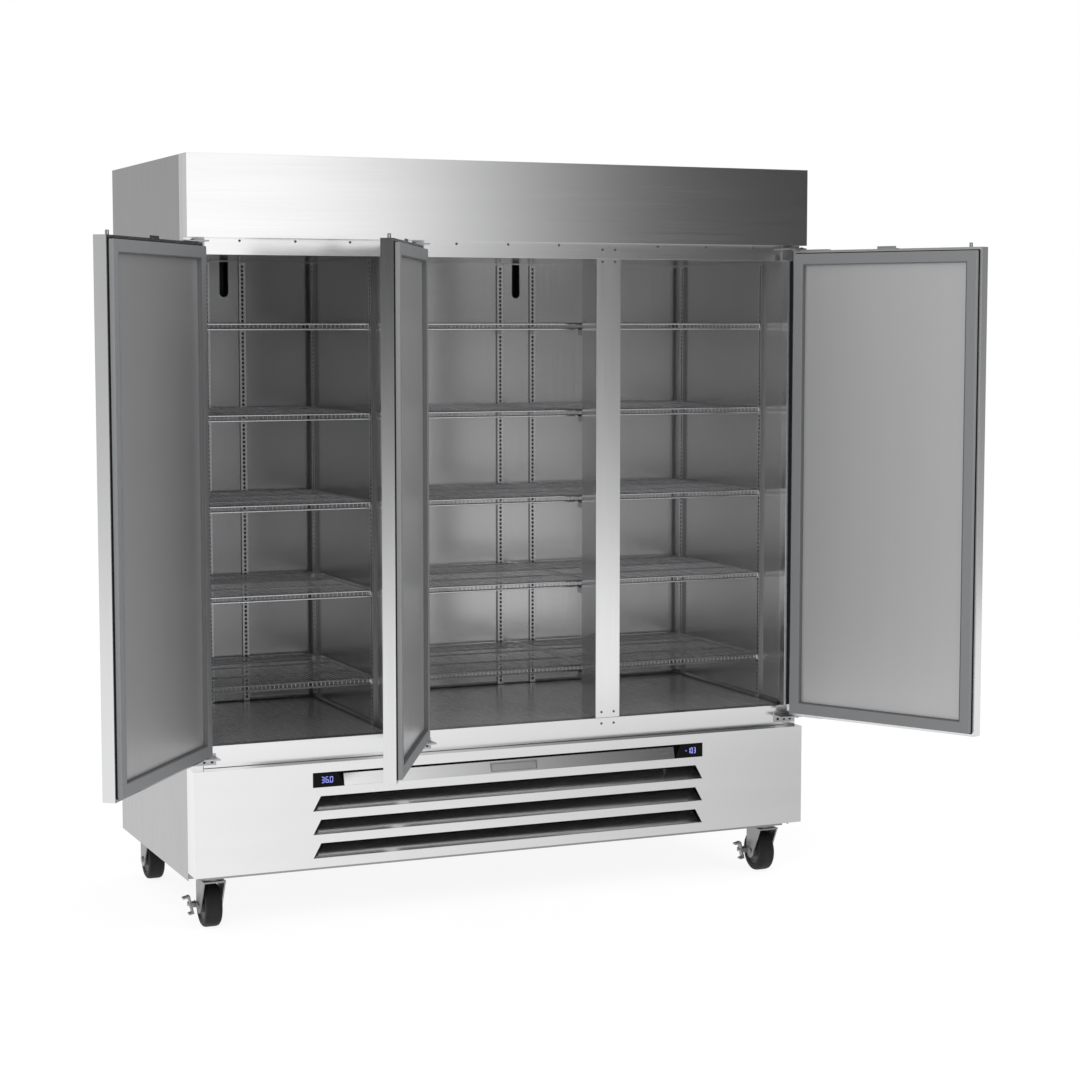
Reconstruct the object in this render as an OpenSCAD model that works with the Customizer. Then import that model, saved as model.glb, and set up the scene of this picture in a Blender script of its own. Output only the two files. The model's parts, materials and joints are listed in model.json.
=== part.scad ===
// Three-door reach-in refrigerator on casters, doors standing open.
// Cabinet frame before placing: x to the right, y into the cabinet from the front edge of the
// side skins, z up from the floor. The whole model is then placed over its own footprint centre.

/* [Cabinet] */
// Width over the side skins
cabinet_w = 1905; // [1780:5:2030]
// Depth of the side skins
cabinet_d = 765; // [700:5:840]
// Height of the side skins' lower edge above the floor
skirt_z = 146; // [146:1:170]
// Sheet thickness of skins, header, lower panel and door skins
skin_t = 1.5; // [1:0.1:2]
// Sheet thickness of the liners
liner_t = 1; // [0.8:0.1:1.5]
// Thickness of a side wall with its insulation
wall_t = 38.5; // [34:0.5:50]
// Thickness of the back wall with its insulation
back_t = 70; // [55:1:85]
// Thickness of the insulation over the evaporators
roof_t = 55; // [40:1:70]
// Height of the header panel
header_h = 224.5; // [215:0.5:260]
// Depth of the header panel in front of the face frame
header_d = 45; // [40:1:48]

/* [Face frame] */
// Depth of the face frame in front of the side skins
frame_d = 33; // [28:1:45]
// Height of the sill
sill_h = 61.5; // [54:0.5:76]
// Clear height of the door opening
opening_h = 1349.5; // [1300:0.5:1400]
// Width of a mullion
mullion_w = 78; // [70:1:90]
// Depth of a mullion
mullion_d = 100; // [85:1:110]
// Radius of a frame screw's head
screw_r = 3.5; // [2.5:0.1:4.5]
// Height of a frame screw's head
screw_h = 1.2; // [0.8:0.1:2]

/* [Lower panel] */
// Height of the lower panel
grille_h = 297; // [280:1:320]
// Depth of the lower panel in front of the face frame
grille_d = 43; // [38:1:46]
// Height of the lower panel's edge above the skins' lower edge
grille_lift = 22.5; // [15:0.5:30]
// Gap between the lower panel and the sill
grille_gap = 0.5; // [0.3:0.1:4]
// Number of louvre rows, the top one holding the displays
louvre_rows = 4; // [3:1:4]
// Height of a louvre opening
louvre_h = 42; // [34:1:46]
// Half width of a louvre opening at its lower edge
louvre_half = 612; // [560:1:660]
// How much narrower a louvre is at its upper edge, each side
louvre_slant = 23; // [12:1:30]
// Plain margin above the top louvre
louvre_top = 27.5; // [20:0.5:35]
// Plain margin below the bottom louvre
louvre_bottom = 26.5; // [18:0.5:34]
// How far a louvre flap leans inwards
louvre_lean = 26; // [16:1:32]
// Width of a display along its upper edge
display_w = 74; // [60:1:90]
// Height of the bare name plate
plate_h = 28; // [20:1:30]
// Width of the bare name plate
plate_w = 147; // [110:1:170]

/* [Doors] */
// Gap between neighbouring doors
door_gap = 6; // [5:0.5:10]
// Inset of the outer doors from the cabinet sides
door_inset = 3; // [1:0.5:6]
// Overlap of a door over the sill
door_lap_low = 25.5; // [22:0.5:32]
// Overlap of a door over the top rail
door_lap_top = 30; // [24:0.5:36]
// Gap between the doors and the header
header_gap = 15; // [14.5:0.5:20]
// Depth of a door skin's sides
door_t = 34; // [32:0.5:38]
// Gap between a closed door's gasket and the face frame
seal_gap = 2.5; // [2.2:0.1:5]
// Distance of the hinge axis from the hinge edge
hinge_a = 13; // [12:0.5:16]
// Distance of the hinge axis from the outer face
hinge_b = 10; // [9.5:0.5:11]
// Angle at which the left door stands open
open_left = 127.2; // [121:0.1:130]
// Angle at which the middle door stands open
open_middle = 117.6; // [90:0.1:118]
// Angle at which the right door stands open
open_right = 118.2; // [90:0.1:130]
// Inset of the gasket from the door edge
gasket_inset = 10; // [8:0.5:12]
// Width of the gasket frame
gasket_w = 32; // [28:1:44]
// Thickness of the gasket
gasket_t = 8.5; // [6:0.1:9]
// Height of the inner panel's rim, which carries the gasket
rim_h = 6; // [4:0.5:7]
// Height of the recessed pull in the outer face
pull_h = 160; // [120:1:200]
// Width of the recessed pull
pull_w = 60; // [45:1:75]
// Depth of the recessed pull
pull_d = 20; // [14:0.5:22]

/* [Hinges and locks] */
// Radius of a hinge pin
pin_r = 4; // [3:0.1:4.5]
// Running clearance of pins, shafts and plugs
run_fit = 0.05; // [0.03:0.01:0.08]
// Outer radius of a hinge bush
bush_r = 7.5; // [6.5:0.1:8]
// Length of a hinge bush
bush_l = 20; // [16:1:28]
// Thickness of a hinge leaf
leaf_t = 3; // [2:0.1:3.5]
// Length of a hinge leaf
leaf_l = 110; // [80:1:130]
// Thickness of a hinge bracket's arm
arm_t = 4; // [3:0.1:5]
// Radius of a lock bolt
bolt_r = 5; // [4:0.1:6]
// How far a lock bolt stands out of the door top at rest
bolt_out = 13; // [11:0.1:13.5]
// Radius of a lock plug
plug_r = 9; // [7:0.1:10]
// How far a lock plug stands out of the outer face
plug_out = 4; // [2:0.1:6]

/* [Shelves] */
// Height of the lowest shelf's upper rod above the storage floor
shelf_first = 137.5; // [120:0.5:160]
// Height from one shelf to the next
shelf_pitch = 256; // [240:1:260]
// Number of shelves in each section
shelf_count = 5; // [4:1:5]
// Distance of the shelves' front edge behind the side skins' front edge
shelf_front = 113; // [108:1:125]
// Thickness of a shelf's rods
rod_d = 6; // [5:0.1:7]
// Height between a shelf's upper and lower front rods
rod_drop = 15; // [12:0.5:18]
// Thickness of a shelf's wires
wire_d = 3; // [2.5:0.1:4]
// Distance from wire to wire
wire_pitch = 25.4; // [20:0.2:32]
// Width of a slotted pilaster
pilaster_w = 20; // [16:0.5:24]
// Depth of a slotted pilaster
pilaster_d = 8; // [6:0.5:10]
// Distance from slot to slot in a pilaster
slot_pitch = 25.4; // [20:0.2:40]
// Distance of the shelves' back edge from the back wall
shelf_back = 27; // [20:1:32]
// Thickness of the air riser's plate on the back wall
riser_t = 3; // [2:0.5:6]
// Half the distance between the two pilasters beside a riser
riser_pair = 56; // [50:0.5:64]
// Half width of the air slot in a riser
slot_r = 13.5; // [9:0.5:18]
// Depth of the air duct behind a riser
duct_d = 48; // [30:1:52]

/* [Casters] */
// Radius of a caster wheel
wheel_r = 61; // [56:0.5:61]
// Width of a caster tyre
tyre_w = 48; // [36:0.5:52]
// Distance of a wheel's axle behind its swivel axis
trail = 20; // [14:0.5:30]
// Distance of the casters from the cabinet sides
caster_inset = 74; // [70:1:90]
// Distance of the front swivel axes behind the side skins' front edge
caster_front = 33; // [25:0.5:50]
// Distance of the rear swivel axes from the back
caster_back = 96; // [90:1:140]
// Radius of an axle bolt
axle_r = 5; // [4:0.1:6]
// Radius of a caster's kingpin
kingpin_r = 8; // [6:0.1:9]
// Thickness of a fork leg
fork_t = 4; // [3:0.1:5]

/* [Refrigeration] */
// Radius of a compressor shell
compressor_r = 75; // [60:1:85]
// Height of a compressor's straight side
compressor_h = 110; // [90:1:140]
// Width of a condenser coil
condenser_w = 420; // [350:5:460]
// Height of a condenser coil
condenser_h = 190; // [180:1:200]
// Depth of the heat exchangers' fins
fin_d = 44; // [36:1:50]
// Radius of a condenser fan
condenser_fan_r = 80; // [65:1:88]
// Radius of an evaporator fan
evaporator_fan_r = 62; // [50:1:66]
// Radius of a fan motor
motor_r = 32; // [26:0.5:36]
// Radius of a fan shaft
shaft_r = 4; // [3:0.1:5]

/* [Hidden] */
$fn = 48;
// Open seam between neighbouring sheets and slabs of one group
seam = 0.2;
// Clearance between a turning piece and the face beside it
clear = 0.4;
half_w = cabinet_w / 2;

// Heights, stacked upwards from the floor
panel_z0 = skirt_z + grille_lift;
panel_z1 = panel_z0 + grille_h;
sill_z = panel_z1 + grille_gap;
floor_z = sill_z + sill_h;
opening_top = floor_z + opening_h;
ceiling_z = opening_top + 3;
door_z0 = floor_z - door_lap_low;
door_z1 = opening_top + door_lap_top;
header_z0 = door_z1 + header_gap;
cabinet_h = header_z0 + header_h;

// Faces across the cabinet
wall_in = half_w - wall_t;
back_in = cabinet_d - back_t;
frame_y = -frame_d;
header_y = frame_y - header_d;
panel_y = frame_y - grille_d;
door_w = (cabinet_w - 2 * door_inset - 2 * door_gap) / 3;
mullion_x = door_w / 2 + door_gap / 2;
mullion_back = frame_y + mullion_d;
divider_left = -mullion_x - mullion_w / 2;
divider_right = -mullion_x + mullion_w / 2;

// Door frame: x from the hinge axis to the free edge, y from the hinge axis into the door
door_hand = [1, 1, -1];
door_open = [open_left, open_middle, open_right];
door_stand = door_t + rim_h + gasket_t + seal_gap;
hinge_y = frame_y - door_stand + hinge_b;
hinge_x = [-half_w + door_inset + hinge_a, -door_w / 2 + hinge_a, half_w - door_inset - hinge_a];
edge_x0 = -hinge_a;
edge_x1 = door_w - hinge_a;
face_y = -hinge_b;
rear_y = door_t - hinge_b;
flange_w = gasket_inset + 6;
lock_x = edge_x1 - 45;
plug_z = door_z1 - 70;
bolt_y = face_y + door_t / 2;
plug_end = bolt_y - bolt_r - 0.5;
bolt_in = 45;
bolt_travel = 13;
pull_x = edge_x1 - 35 - pull_w;
pull_z = (door_z0 + door_z1 - pull_h) / 2;

// Where a door point [x, y] lies when the door stands open by an angle
function swung(p, angle) = [p.x * cos(angle) + p.y * sin(angle), p.y * cos(angle) - p.x * sin(angle)];
// Footprint of the part with its doors open, and its centre
reach_left = hinge_x[0] + swung([edge_x1, face_y], open_left).x;
reach_right = hinge_x[2] - swung([edge_x1, face_y], open_right).x;
reach_front = hinge_y + min([for (angle = door_open) swung([edge_x1, rear_y], angle).y]);
origin_x = (reach_left + reach_right) / 2;
origin_y = (reach_front + cabinet_d) / 2;

// Louvre rows counted down from the top
louvre_pitch = (grille_h - louvre_top - louvre_bottom - louvre_h) / (louvre_rows - 1);
function row_top(i) = panel_z1 - louvre_top - i * louvre_pitch;
function row_low(i) = row_top(i) - louvre_h;
// The top row's flap stands steeper and leaves a thin slot above it
display_lean = 9;
display_slot = 8;
display_foot = display_w + 18;
flap_gap = 9;
plate_t = 1.2;

// Base, casters and what stands on the deck
plate_t_caster = 6;
base_z = skirt_z + plate_t_caster;
base_h = 34;
deck_t = 2;
deck_z = base_z + base_h + deck_t;
fork_gap = tyre_w / 2 + 4;
fork_out = fork_gap + fork_t;
race_z = skirt_z - 0.3;
crown_z = race_z - 6;
caster_x = half_w - caster_inset;
caster_y = [caster_front, cabinet_d - caster_back];
leg_half = 42;
eye_r = 22;
lever_y = trail + eye_r + 13;
lever_x = -fork_out - 13;
lever_z = 58;
lever_tilt = 13;
lever_len = 54;
lever_w = 20;
lever_hub_r = 6;
lever_pin_r = 3;
ear_t = 3;

// Shelf bays from wall to wall, left, middle and right
bay_gap = pilaster_d + 4;
shelf_rear = back_in - shelf_back;
bay_x0 = [-wall_in + bay_gap, divider_right + bay_gap, mullion_x + 4];
bay_x1 = [divider_left - bay_gap, mullion_x - 4, wall_in - bay_gap];
pilaster_y = [shelf_front + 12, shelf_rear - 13];
riser_x = [(divider_left - wall_in) / 2 + 3, (divider_right + wall_in) / 2 + 12];
post_x = mullion_w / 2 - pilaster_w / 2 - 4;
// The air slot's round foot, its upper end in the riser and the duct's upper end over the ceiling
slot_h = 92.5;
slot_top = ceiling_z - 4;
slot_low = slot_top - slot_h;
duct_top = ceiling_z + 60;
function shelf_z(i) = floor_z + shelf_first + i * shelf_pitch;

// Refrigeration
unit_x = 330;
condenser_y = 22;
fan_gap = 26;
condenser_fan_z = deck_z + condenser_h / 2;
condenser_fan_y = condenser_y + fin_d + fan_gap;
evaporator_h = 150;
evaporator_y = back_in / 2;
evaporator_z = ceiling_z + liner_t;
evaporator_fan_z = evaporator_z + evaporator_h / 2;
evaporator_fan_y = evaporator_y - fan_gap;
evaporator_x = [(divider_left - wall_in) / 2, (divider_right + wall_in) / 2];
evaporator_w = [380, 760];
fan_depth = 24;
motor_l = 60;

steel = [0.78, 0.79, 0.80];
dark_steel = [0.45, 0.46, 0.47];
rubber = [0.07, 0.07, 0.07];

// Helpers

// Box between two corners
module block(lo, hi) {
    translate(lo) cube(hi - lo);
}

// Outline in x and z, extruded backwards from the plane y = y0
module front_plate(y0, t) {
    translate([0, y0 + t, 0]) rotate([90, 0, 0]) linear_extrude(t) children();
}

// Outline in y and z, extruded to the right from the plane x = x0
module side_plate(x0, t) {
    translate([x0, 0, 0]) rotate([90, 0, 90]) linear_extrude(t) children();
}

// Moves the cabinet frame to the centre of the footprint
module placed() {
    translate([-origin_x, -origin_y, 0]) children();
}

// Turns door i out about its hinge axis
module at_door(i) {
    translate([hinge_x[i], hinge_y, 0])
        rotate([0, 0, -door_hand[i] * door_open[i]])
            if (door_hand[i] > 0) children();
            else mirror([1, 0, 0]) children();
}

// Rectangular ring of a door between two insets from its edge
module door_ring(in0, in1, y0, y1) {
    difference() {
        block([edge_x0 + in0, y0, door_z0 + in0], [edge_x1 - in0, y1, door_z1 - in0]);
        block([edge_x0 + in1, y0 - 1, door_z0 + in1], [edge_x1 - in1, y1 + 1, door_z1 - in1]);
    }
}

// Shell

module side_skins() {
    color(steel)
        for (x = [-half_w, half_w - skin_t])
            block([x, 0, skirt_z], [x + skin_t, cabinet_d, cabinet_h]);
}

module back_skin() {
    gland_r = 16;
    gland_bore = 9;
    gland_l = 14;
    gland_side = 150;
    gland_x = half_w - gland_side;
    gland_z = deck_z + 60;
    vent_w = 240;
    vent_h = 8;
    vent_pitch = 22;
    vent_count = 7;
    vent_z = deck_z + 40;
    color(steel) {
        front_plate(cabinet_d - skin_t, skin_t)
            difference() {
                translate([-half_w + skin_t, skirt_z])
                    square([cabinet_w - 2 * skin_t, cabinet_h - skin_t - skirt_z]);
                for (x = [-unit_x, unit_x], i = [0 : vent_count - 1])
                    translate([x - vent_w / 2, vent_z + i * vent_pitch]) square([vent_w, vent_h]);
                translate([gland_x, gland_z]) circle(gland_bore);
            }
        translate([gland_x, cabinet_d, gland_z])
            rotate([90, 0, 0])
                difference() {
                    cylinder(h = gland_l, r = gland_r);
                    translate([0, 0, -1]) cylinder(h = gland_l + 2, r = gland_bore);
                }
    }
}

module top_skin() {
    color(steel)
        block([-half_w + skin_t, 0, cabinet_h - skin_t], [half_w - skin_t, cabinet_d, cabinet_h]);
}

module wall_insulation() {
    foam_x = wall_in + liner_t;
    foam_y = back_in + liner_t;
    foam_top = cabinet_h - skin_t;
    color("khaki") {
        for (side = [0, 1])
            mirror([side, 0, 0])
                block([foam_x, 0, sill_z], [half_w - skin_t, cabinet_d - skin_t, foam_top]);
        difference() {
            block([-foam_x + seam, foam_y, sill_z], [foam_x - seam, cabinet_d - skin_t, foam_top]);
            for (x = riser_x) air_slot(x, duct_top);
        }
        block([-foam_x + seam, 0, sill_z], [foam_x - seam, foam_y - seam, floor_z - liner_t]);
        block([-foam_x + seam, 0, foam_top - roof_t], [foam_x - seam, foam_y - seam, foam_top]);
        block([divider_left + liner_t, mullion_back, floor_z - liner_t + seam],
              [divider_right - liner_t, back_in, ceiling_z + liner_t]);
    }
}

// Air slot with a round foot, from in front of a riser to the end of its duct
module air_slot(x, top) {
    front_plate(back_in - riser_t - 1, riser_t + 1 + duct_d) {
        translate([x - slot_r, slot_low]) square([2 * slot_r, top - slot_low]);
        translate([x, slot_low]) circle(slot_r);
    }
}

// Five sheets round one compartment, and the slotted plate of the air riser on its back wall
module liner(x0, x1, y0_left, y0_right, riser) {
    plate_half = riser_pair - pilaster_w / 2 - 1;
    color(dark_steel) {
        block([x0 - liner_t, y0_left, floor_z], [x0, back_in, ceiling_z]);
        block([x1, y0_right, floor_z], [x1 + liner_t, back_in, ceiling_z]);
        difference() {
            block([x0 + seam, back_in, floor_z], [x1 - seam, back_in + liner_t, ceiling_z]);
            air_slot(riser, slot_top);
        }
        block([x0 + seam, 0, floor_z - liner_t], [x1 - seam, back_in - seam, floor_z]);
        block([x0 + seam, 0, ceiling_z], [x1 - seam, back_in - seam, ceiling_z + liner_t]);
        difference() {
            block([riser - plate_half, back_in - riser_t, floor_z + seam],
                  [riser + plate_half, back_in - seam, ceiling_z - seam]);
            air_slot(riser, slot_top);
        }
    }
}

// Sheet section between two corners, open at both ends along x
module crosswise_tube(lo, hi) {
    difference() {
        block(lo, hi);
        block(lo + [-1, skin_t, skin_t], hi + [1, -skin_t, -skin_t]);
    }
}

// Sheet section between two corners, open at the foot, and at the head too if asked
module upright_tube(lo, hi, open_head) {
    difference() {
        block(lo, hi);
        block(lo + [skin_t, skin_t, -1], hi + [-skin_t, -skin_t, open_head ? 1 : -skin_t]);
    }
}

// Two stiles, the top rail and the sill round the door opening
module face_frame() {
    color(steel) {
        for (side = [0, 1])
            mirror([side, 0, 0])
                upright_tube([wall_in, frame_y, panel_z0], [half_w, 0, cabinet_h], false);
        crosswise_tube([-wall_in + seam, frame_y, opening_top], [wall_in - seam, 0, cabinet_h]);
        crosswise_tube([-wall_in + seam, frame_y, sill_z], [wall_in - seam, 0, floor_z]);
    }
}

module mullions() {
    color(steel)
        for (x = [-mullion_x, mullion_x])
            upright_tube([x - mullion_w / 2, frame_y, floor_z],
                         [x + mullion_w / 2, mullion_back, opening_top], true);
}

// Round heads on the face frame: four at each end of a mullion, three along each bay's rail
module frame_screws() {
    pair = 20;
    rail_z = header_z0 - 7;
    heights = [floor_z - 17, floor_z + 17, opening_top - 8, opening_top + 27];
    bay = door_w + door_gap;
    color(dark_steel) {
        for (x = [-mullion_x, mullion_x], dx = [-pair, pair], z = heights)
            screw(x + dx, z);
        for (i = [-1, 0, 1], dx = [-bay / 4, 0, bay / 4])
            screw(i * bay + dx, rail_z);
    }
}

module screw(x, z) {
    translate([x, frame_y, z]) rotate([90, 0, 0]) cylinder(h = screw_h, r = screw_r);
}

// Front sheet and its folded returns; the lower one takes the lock bolts
module header_panel() {
    behind = header_y + skin_t + seam;
    under = cabinet_h - skin_t - seam;
    inner = half_w - skin_t - seam;
    keeper_r = bolt_r + 1.5;
    color(steel) {
        block([-half_w, header_y, header_z0], [half_w, header_y + skin_t, cabinet_h]);
        block([-half_w, behind, cabinet_h - skin_t], [half_w, frame_y, cabinet_h]);
        for (side = [0, 1])
            mirror([side, 0, 0])
                block([half_w - skin_t, behind, header_z0], [half_w, frame_y, under]);
        difference() {
            block([-inner, behind, header_z0], [inner, frame_y, header_z0 + skin_t]);
            for (i = [0 : 2])
                translate([hinge_x[i] + door_hand[i] * lock_x, hinge_y + bolt_y, header_z0 - 1])
                    cylinder(h = skin_t + 2, r = keeper_r);
        }
    }
}

// Outline of louvre row i, narrower at its upper edge
module louvre_outline(i, inset) {
    low = louvre_half - inset;
    top = i == 0 ? low : low - louvre_slant;
    polygon([[-low, row_low(i)], [low, row_low(i)], [top, row_top(i)], [-top, row_top(i)]]);
}

// Sheet flap that leans inwards from a louvre's lower edge, its ends slanted
module louvre_flap(i, low_half, top_half, lean, gap) {
    foot = row_low(i) - 1;
    top = row_top(i) - gap;
    intersection() {
        side_plate(-low_half, 2 * low_half)
            polygon([[panel_y, foot], [panel_y + skin_t, foot],
                     [panel_y + lean + skin_t, top], [panel_y + lean, top]]);
        front_plate(panel_y - 1, lean + skin_t + 2)
            polygon([[-low_half, foot], [low_half, foot], [low_half, row_low(i)],
                     [top_half, row_top(i)], [-top_half, row_top(i)], [-low_half, row_low(i)]]);
    }
}

module lower_panel() {
    color(steel) {
        front_plate(panel_y, skin_t)
            difference() {
                translate([-half_w, panel_z0]) square([cabinet_w, grille_h]);
                for (i = [0 : louvre_rows - 1]) louvre_outline(i, 0);
            }
        for (i = [1 : louvre_rows - 1])
            louvre_flap(i, louvre_half - 1, louvre_half - louvre_slant - 1, louvre_lean, flap_gap);
        louvre_flap(0, louvre_half - display_foot - 1, louvre_half - display_w - 1,
                    display_lean, display_slot);
        difference() {
            block([-half_w, panel_y + skin_t, panel_z0], [half_w, frame_y, panel_z1]);
            block([-half_w + skin_t, panel_y, panel_z0 + skin_t],
                  [half_w - skin_t, frame_y + 1, panel_z1 - skin_t]);
        }
    }
}

// Bare plate on the top flap
module name_plate() {
    rise = louvre_h - display_slot + 1;
    lean = atan2(display_lean, rise);
    color("silver")
        translate([0, panel_y, row_low(0) - 1])
            rotate([-lean, 0, 0])
                block([-plate_w / 2, -plate_t, 4], [plate_w / 2, 0, 4 + plate_h]);
}

module displays() {
    depth = 12;
    color("black")
        for (side = [0, 1])
            mirror([side, 0, 0])
                front_plate(panel_y - 1, depth)
                    polygon([[louvre_half, row_low(0)], [louvre_half, row_top(0)],
                             [louvre_half - display_w, row_top(0)],
                             [louvre_half - display_foot, row_low(0)]]);
}

// Plan of the base, stepped in between the stiles
module base_outline(inset) {
    square_x = half_w - skin_t - inset;
    front_x = wall_in - 1 - inset;
    translate([-square_x, inset]) square([2 * square_x, cabinet_d - skin_t - 2 * inset]);
    translate([-front_x, frame_y + 1 + inset]) square([2 * front_x, frame_d]);
}

module base_ring(outer, inner) {
    difference() {
        base_outline(outer);
        base_outline(inner);
    }
}

// Double-walled rim and a pad over each caster, under a deck sheet
module base_frame() {
    beam_w = 40;
    beam_t = 3;
    pad_x = 100;
    pad_y = 90;
    color(dark_steel) {
        translate([0, 0, base_z])
            linear_extrude(base_h) {
                base_ring(0, beam_t);
                base_ring(beam_w - beam_t, beam_w);
                intersection() {
                    base_outline(0);
                    for (x = [-caster_x, caster_x], y = caster_y)
                        translate([x - pad_x / 2, y - pad_y / 2]) square([pad_x, pad_y]);
                }
            }
        translate([0, 0, base_z + base_h]) linear_extrude(deck_t) base_outline(0);
    }
}

// Storage

// Places of the slotted pilasters: x, y and the angle that turns their faces into the storage space
pilasters_at = concat(
    [for (y = pilaster_y) [-wall_in, y, 90]],
    [for (y = pilaster_y) [divider_left, y, -90]],
    [for (y = pilaster_y) [divider_right, y, 90]],
    [for (y = pilaster_y) [wall_in, y, -90]],
    [for (x = riser_x, dx = [-riser_pair, riser_pair]) [x + dx, back_in, 0]],
    [for (dx = [-post_x, post_x]) [mullion_x + dx, mullion_back, 180]]
);

module at_pilaster(p) {
    translate([p[0], p[1], 0]) rotate([0, 0, p[2]]) children();
}

module pilasters() {
    z0 = floor_z + 2;
    z1 = ceiling_z - 6;
    slot_w = 5;
    slot_h = 10;
    color(dark_steel)
        for (p = pilasters_at)
            at_pilaster(p)
                front_plate(-pilaster_d, pilaster_d)
                    difference() {
                        translate([-pilaster_w / 2, z0]) square([pilaster_w, z1 - z0]);
                        for (z = [z0 + slot_pitch / 2 : slot_pitch : z1 - slot_pitch / 2])
                            translate([-slot_w / 2, z - slot_h / 2]) square([slot_w, slot_h]);
                    }
}

// Clip that stands out of a pilaster by reach, its upper face at z
module clip(p, reach, z) {
    clip_w = 12;
    clip_h = 16;
    at_pilaster(p)
        block([-clip_w / 2, -pilaster_d - reach, z - clip_h], [clip_w / 2, -pilaster_d, z]);
}

module shelf_clips() {
    rod_low = rod_d / 2;
    ladder_low = rod_low + rod_drop;
    color("gainsboro")
        for (i = [0 : shelf_count - 1]) {
            for (k = [0 : 7]) clip(pilasters_at[k], bay_gap, shelf_z(i) - rod_low);
            for (k = [10, 11])
                clip(pilasters_at[k], back_in - pilaster_d - shelf_rear + 4, shelf_z(i) - ladder_low);
            for (k = [12, 13])
                clip(pilasters_at[k], shelf_front + 4 - mullion_back - pilaster_d, shelf_z(i) - ladder_low);
        }
}

// Rod frame with fore-and-aft wires, and a ladder of rods along the front and back edges
module shelf(w, d) {
    ladder_t = rod_d - 1;
    wires = floor((w - 2 * rod_d) / wire_pitch);
    first = (w - (wires - 1) * wire_pitch) / 2;
    translate([0, 0, -rod_d / 2])
        linear_extrude(rod_d) {
            difference() {
                square([w, d]);
                translate([rod_d, ladder_t]) square([w - 2 * rod_d, d - 2 * ladder_t]);
            }
            for (y = [d / 3, 2 * d / 3])
                translate([0, y - rod_d / 2]) square([w, rod_d]);
            for (i = [0 : wires - 1])
                translate([first + i * wire_pitch - wire_d / 2, 0]) square([wire_d, d]);
        }
    for (y = [0, d - ladder_t])
        front_plate(y, ladder_t) {
            translate([0, -rod_drop - rod_d / 2]) square([w, rod_d]);
            for (i = [0 : 2 : wires - 1])
                translate([first + i * wire_pitch - wire_d / 2, -rod_drop]) square([wire_d, rod_drop]);
            for (x = [0, w - rod_d])
                translate([x, -rod_drop]) square([rod_d, rod_drop]);
        }
}

module shelves(bay) {
    color("silver")
        for (i = [0 : shelf_count - 1])
            translate([bay_x0[bay], shelf_front, shelf_z(i)])
                shelf(bay_x1[bay] - bay_x0[bay], shelf_rear - shelf_front);
}

// Doors

// Tray with its rim turned in, a recessed pull, and holes for bushes, bolt and lock plug
module door_skin(i) {
    color(steel)
        at_door(i) {
            difference() {
                block([edge_x0, face_y, door_z0], [edge_x1, rear_y, door_z1]);
                block([edge_x0 + skin_t, face_y + skin_t, door_z0 + skin_t],
                      [edge_x1 - skin_t, rear_y - skin_t, door_z1 - skin_t]);
                block([edge_x0 + flange_w, rear_y - 2 * skin_t, door_z0 + flange_w],
                      [edge_x1 - flange_w, rear_y + 1, door_z1 - flange_w]);
                block([pull_x, face_y - 1, pull_z],
                      [pull_x + pull_w, face_y + 2 * skin_t, pull_z + pull_h]);
                for (z = [door_z0, door_z1 - skin_t])
                    translate([0, 0, z - 1]) cylinder(h = skin_t + 2, r = bush_r + run_fit);
                translate([lock_x, bolt_y, door_z1 - skin_t - 1])
                    cylinder(h = skin_t + 2, r = bolt_r + run_fit);
                translate([lock_x, face_y + skin_t + 1, plug_z])
                    rotate([90, 0, 0]) cylinder(h = skin_t + 2, r = plug_r + run_fit);
            }
            difference() {
                block([pull_x - skin_t, face_y, pull_z - skin_t],
                      [pull_x + pull_w + skin_t, face_y + pull_d, pull_z + pull_h + skin_t]);
                block([pull_x, face_y - 1, pull_z],
                      [pull_x + pull_w, face_y + pull_d - skin_t, pull_z + pull_h]);
            }
        }
}

// Foam blocks that fill the tray round the pull, the bushes and the lock
module door_core(i) {
    x0 = edge_x0 + skin_t;
    x1 = edge_x1 - skin_t;
    y0 = face_y + skin_t;
    y1 = rear_y - skin_t;
    z0 = door_z0 + skin_t;
    z1 = door_z1 - skin_t;
    pull_x0 = pull_x - skin_t;
    pull_x1 = pull_x + pull_w + skin_t;
    pull_z0 = pull_z - skin_t;
    pull_z1 = pull_z + pull_h + skin_t;
    color("khaki")
        at_door(i)
            difference() {
                union() {
                    block([x0, y0, z0], [pull_x0 - seam, y1, z1]);
                    block([pull_x1 + seam, y0, z0], [x1, y1, z1]);
                    block([pull_x0, y0, z0], [pull_x1, y1, pull_z0 - seam]);
                    block([pull_x0, y0, pull_z1 + seam], [pull_x1, y1, z1]);
                    block([pull_x0, face_y + pull_d, pull_z0], [pull_x1, y1, pull_z1]);
                }
                for (z = [door_z0, door_z1 - bush_l - 1])
                    translate([0, 0, z]) cylinder(h = bush_l + 1, r = bush_r + run_fit);
                translate([lock_x, bolt_y, door_z1 - bolt_in - bolt_travel - 2])
                    cylinder(h = bolt_in + bolt_travel + 2, r = bolt_r + clear);
                translate([lock_x, plug_end + clear, plug_z])
                    rotate([90, 0, 0]) cylinder(h = plug_end + clear - face_y, r = plug_r + clear);
            }
}

// Inner pan with a raised rim under the gasket
module door_panel(i) {
    pan_t = 2;
    rim_in = gasket_inset + 4;
    color(dark_steel)
        at_door(i) {
            block([edge_x0 + rim_in, rear_y, door_z0 + rim_in],
                  [edge_x1 - rim_in, rear_y + pan_t, door_z1 - rim_in]);
            door_ring(rim_in, rim_in + 20, rear_y, rear_y + rim_h);
        }
}

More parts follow.
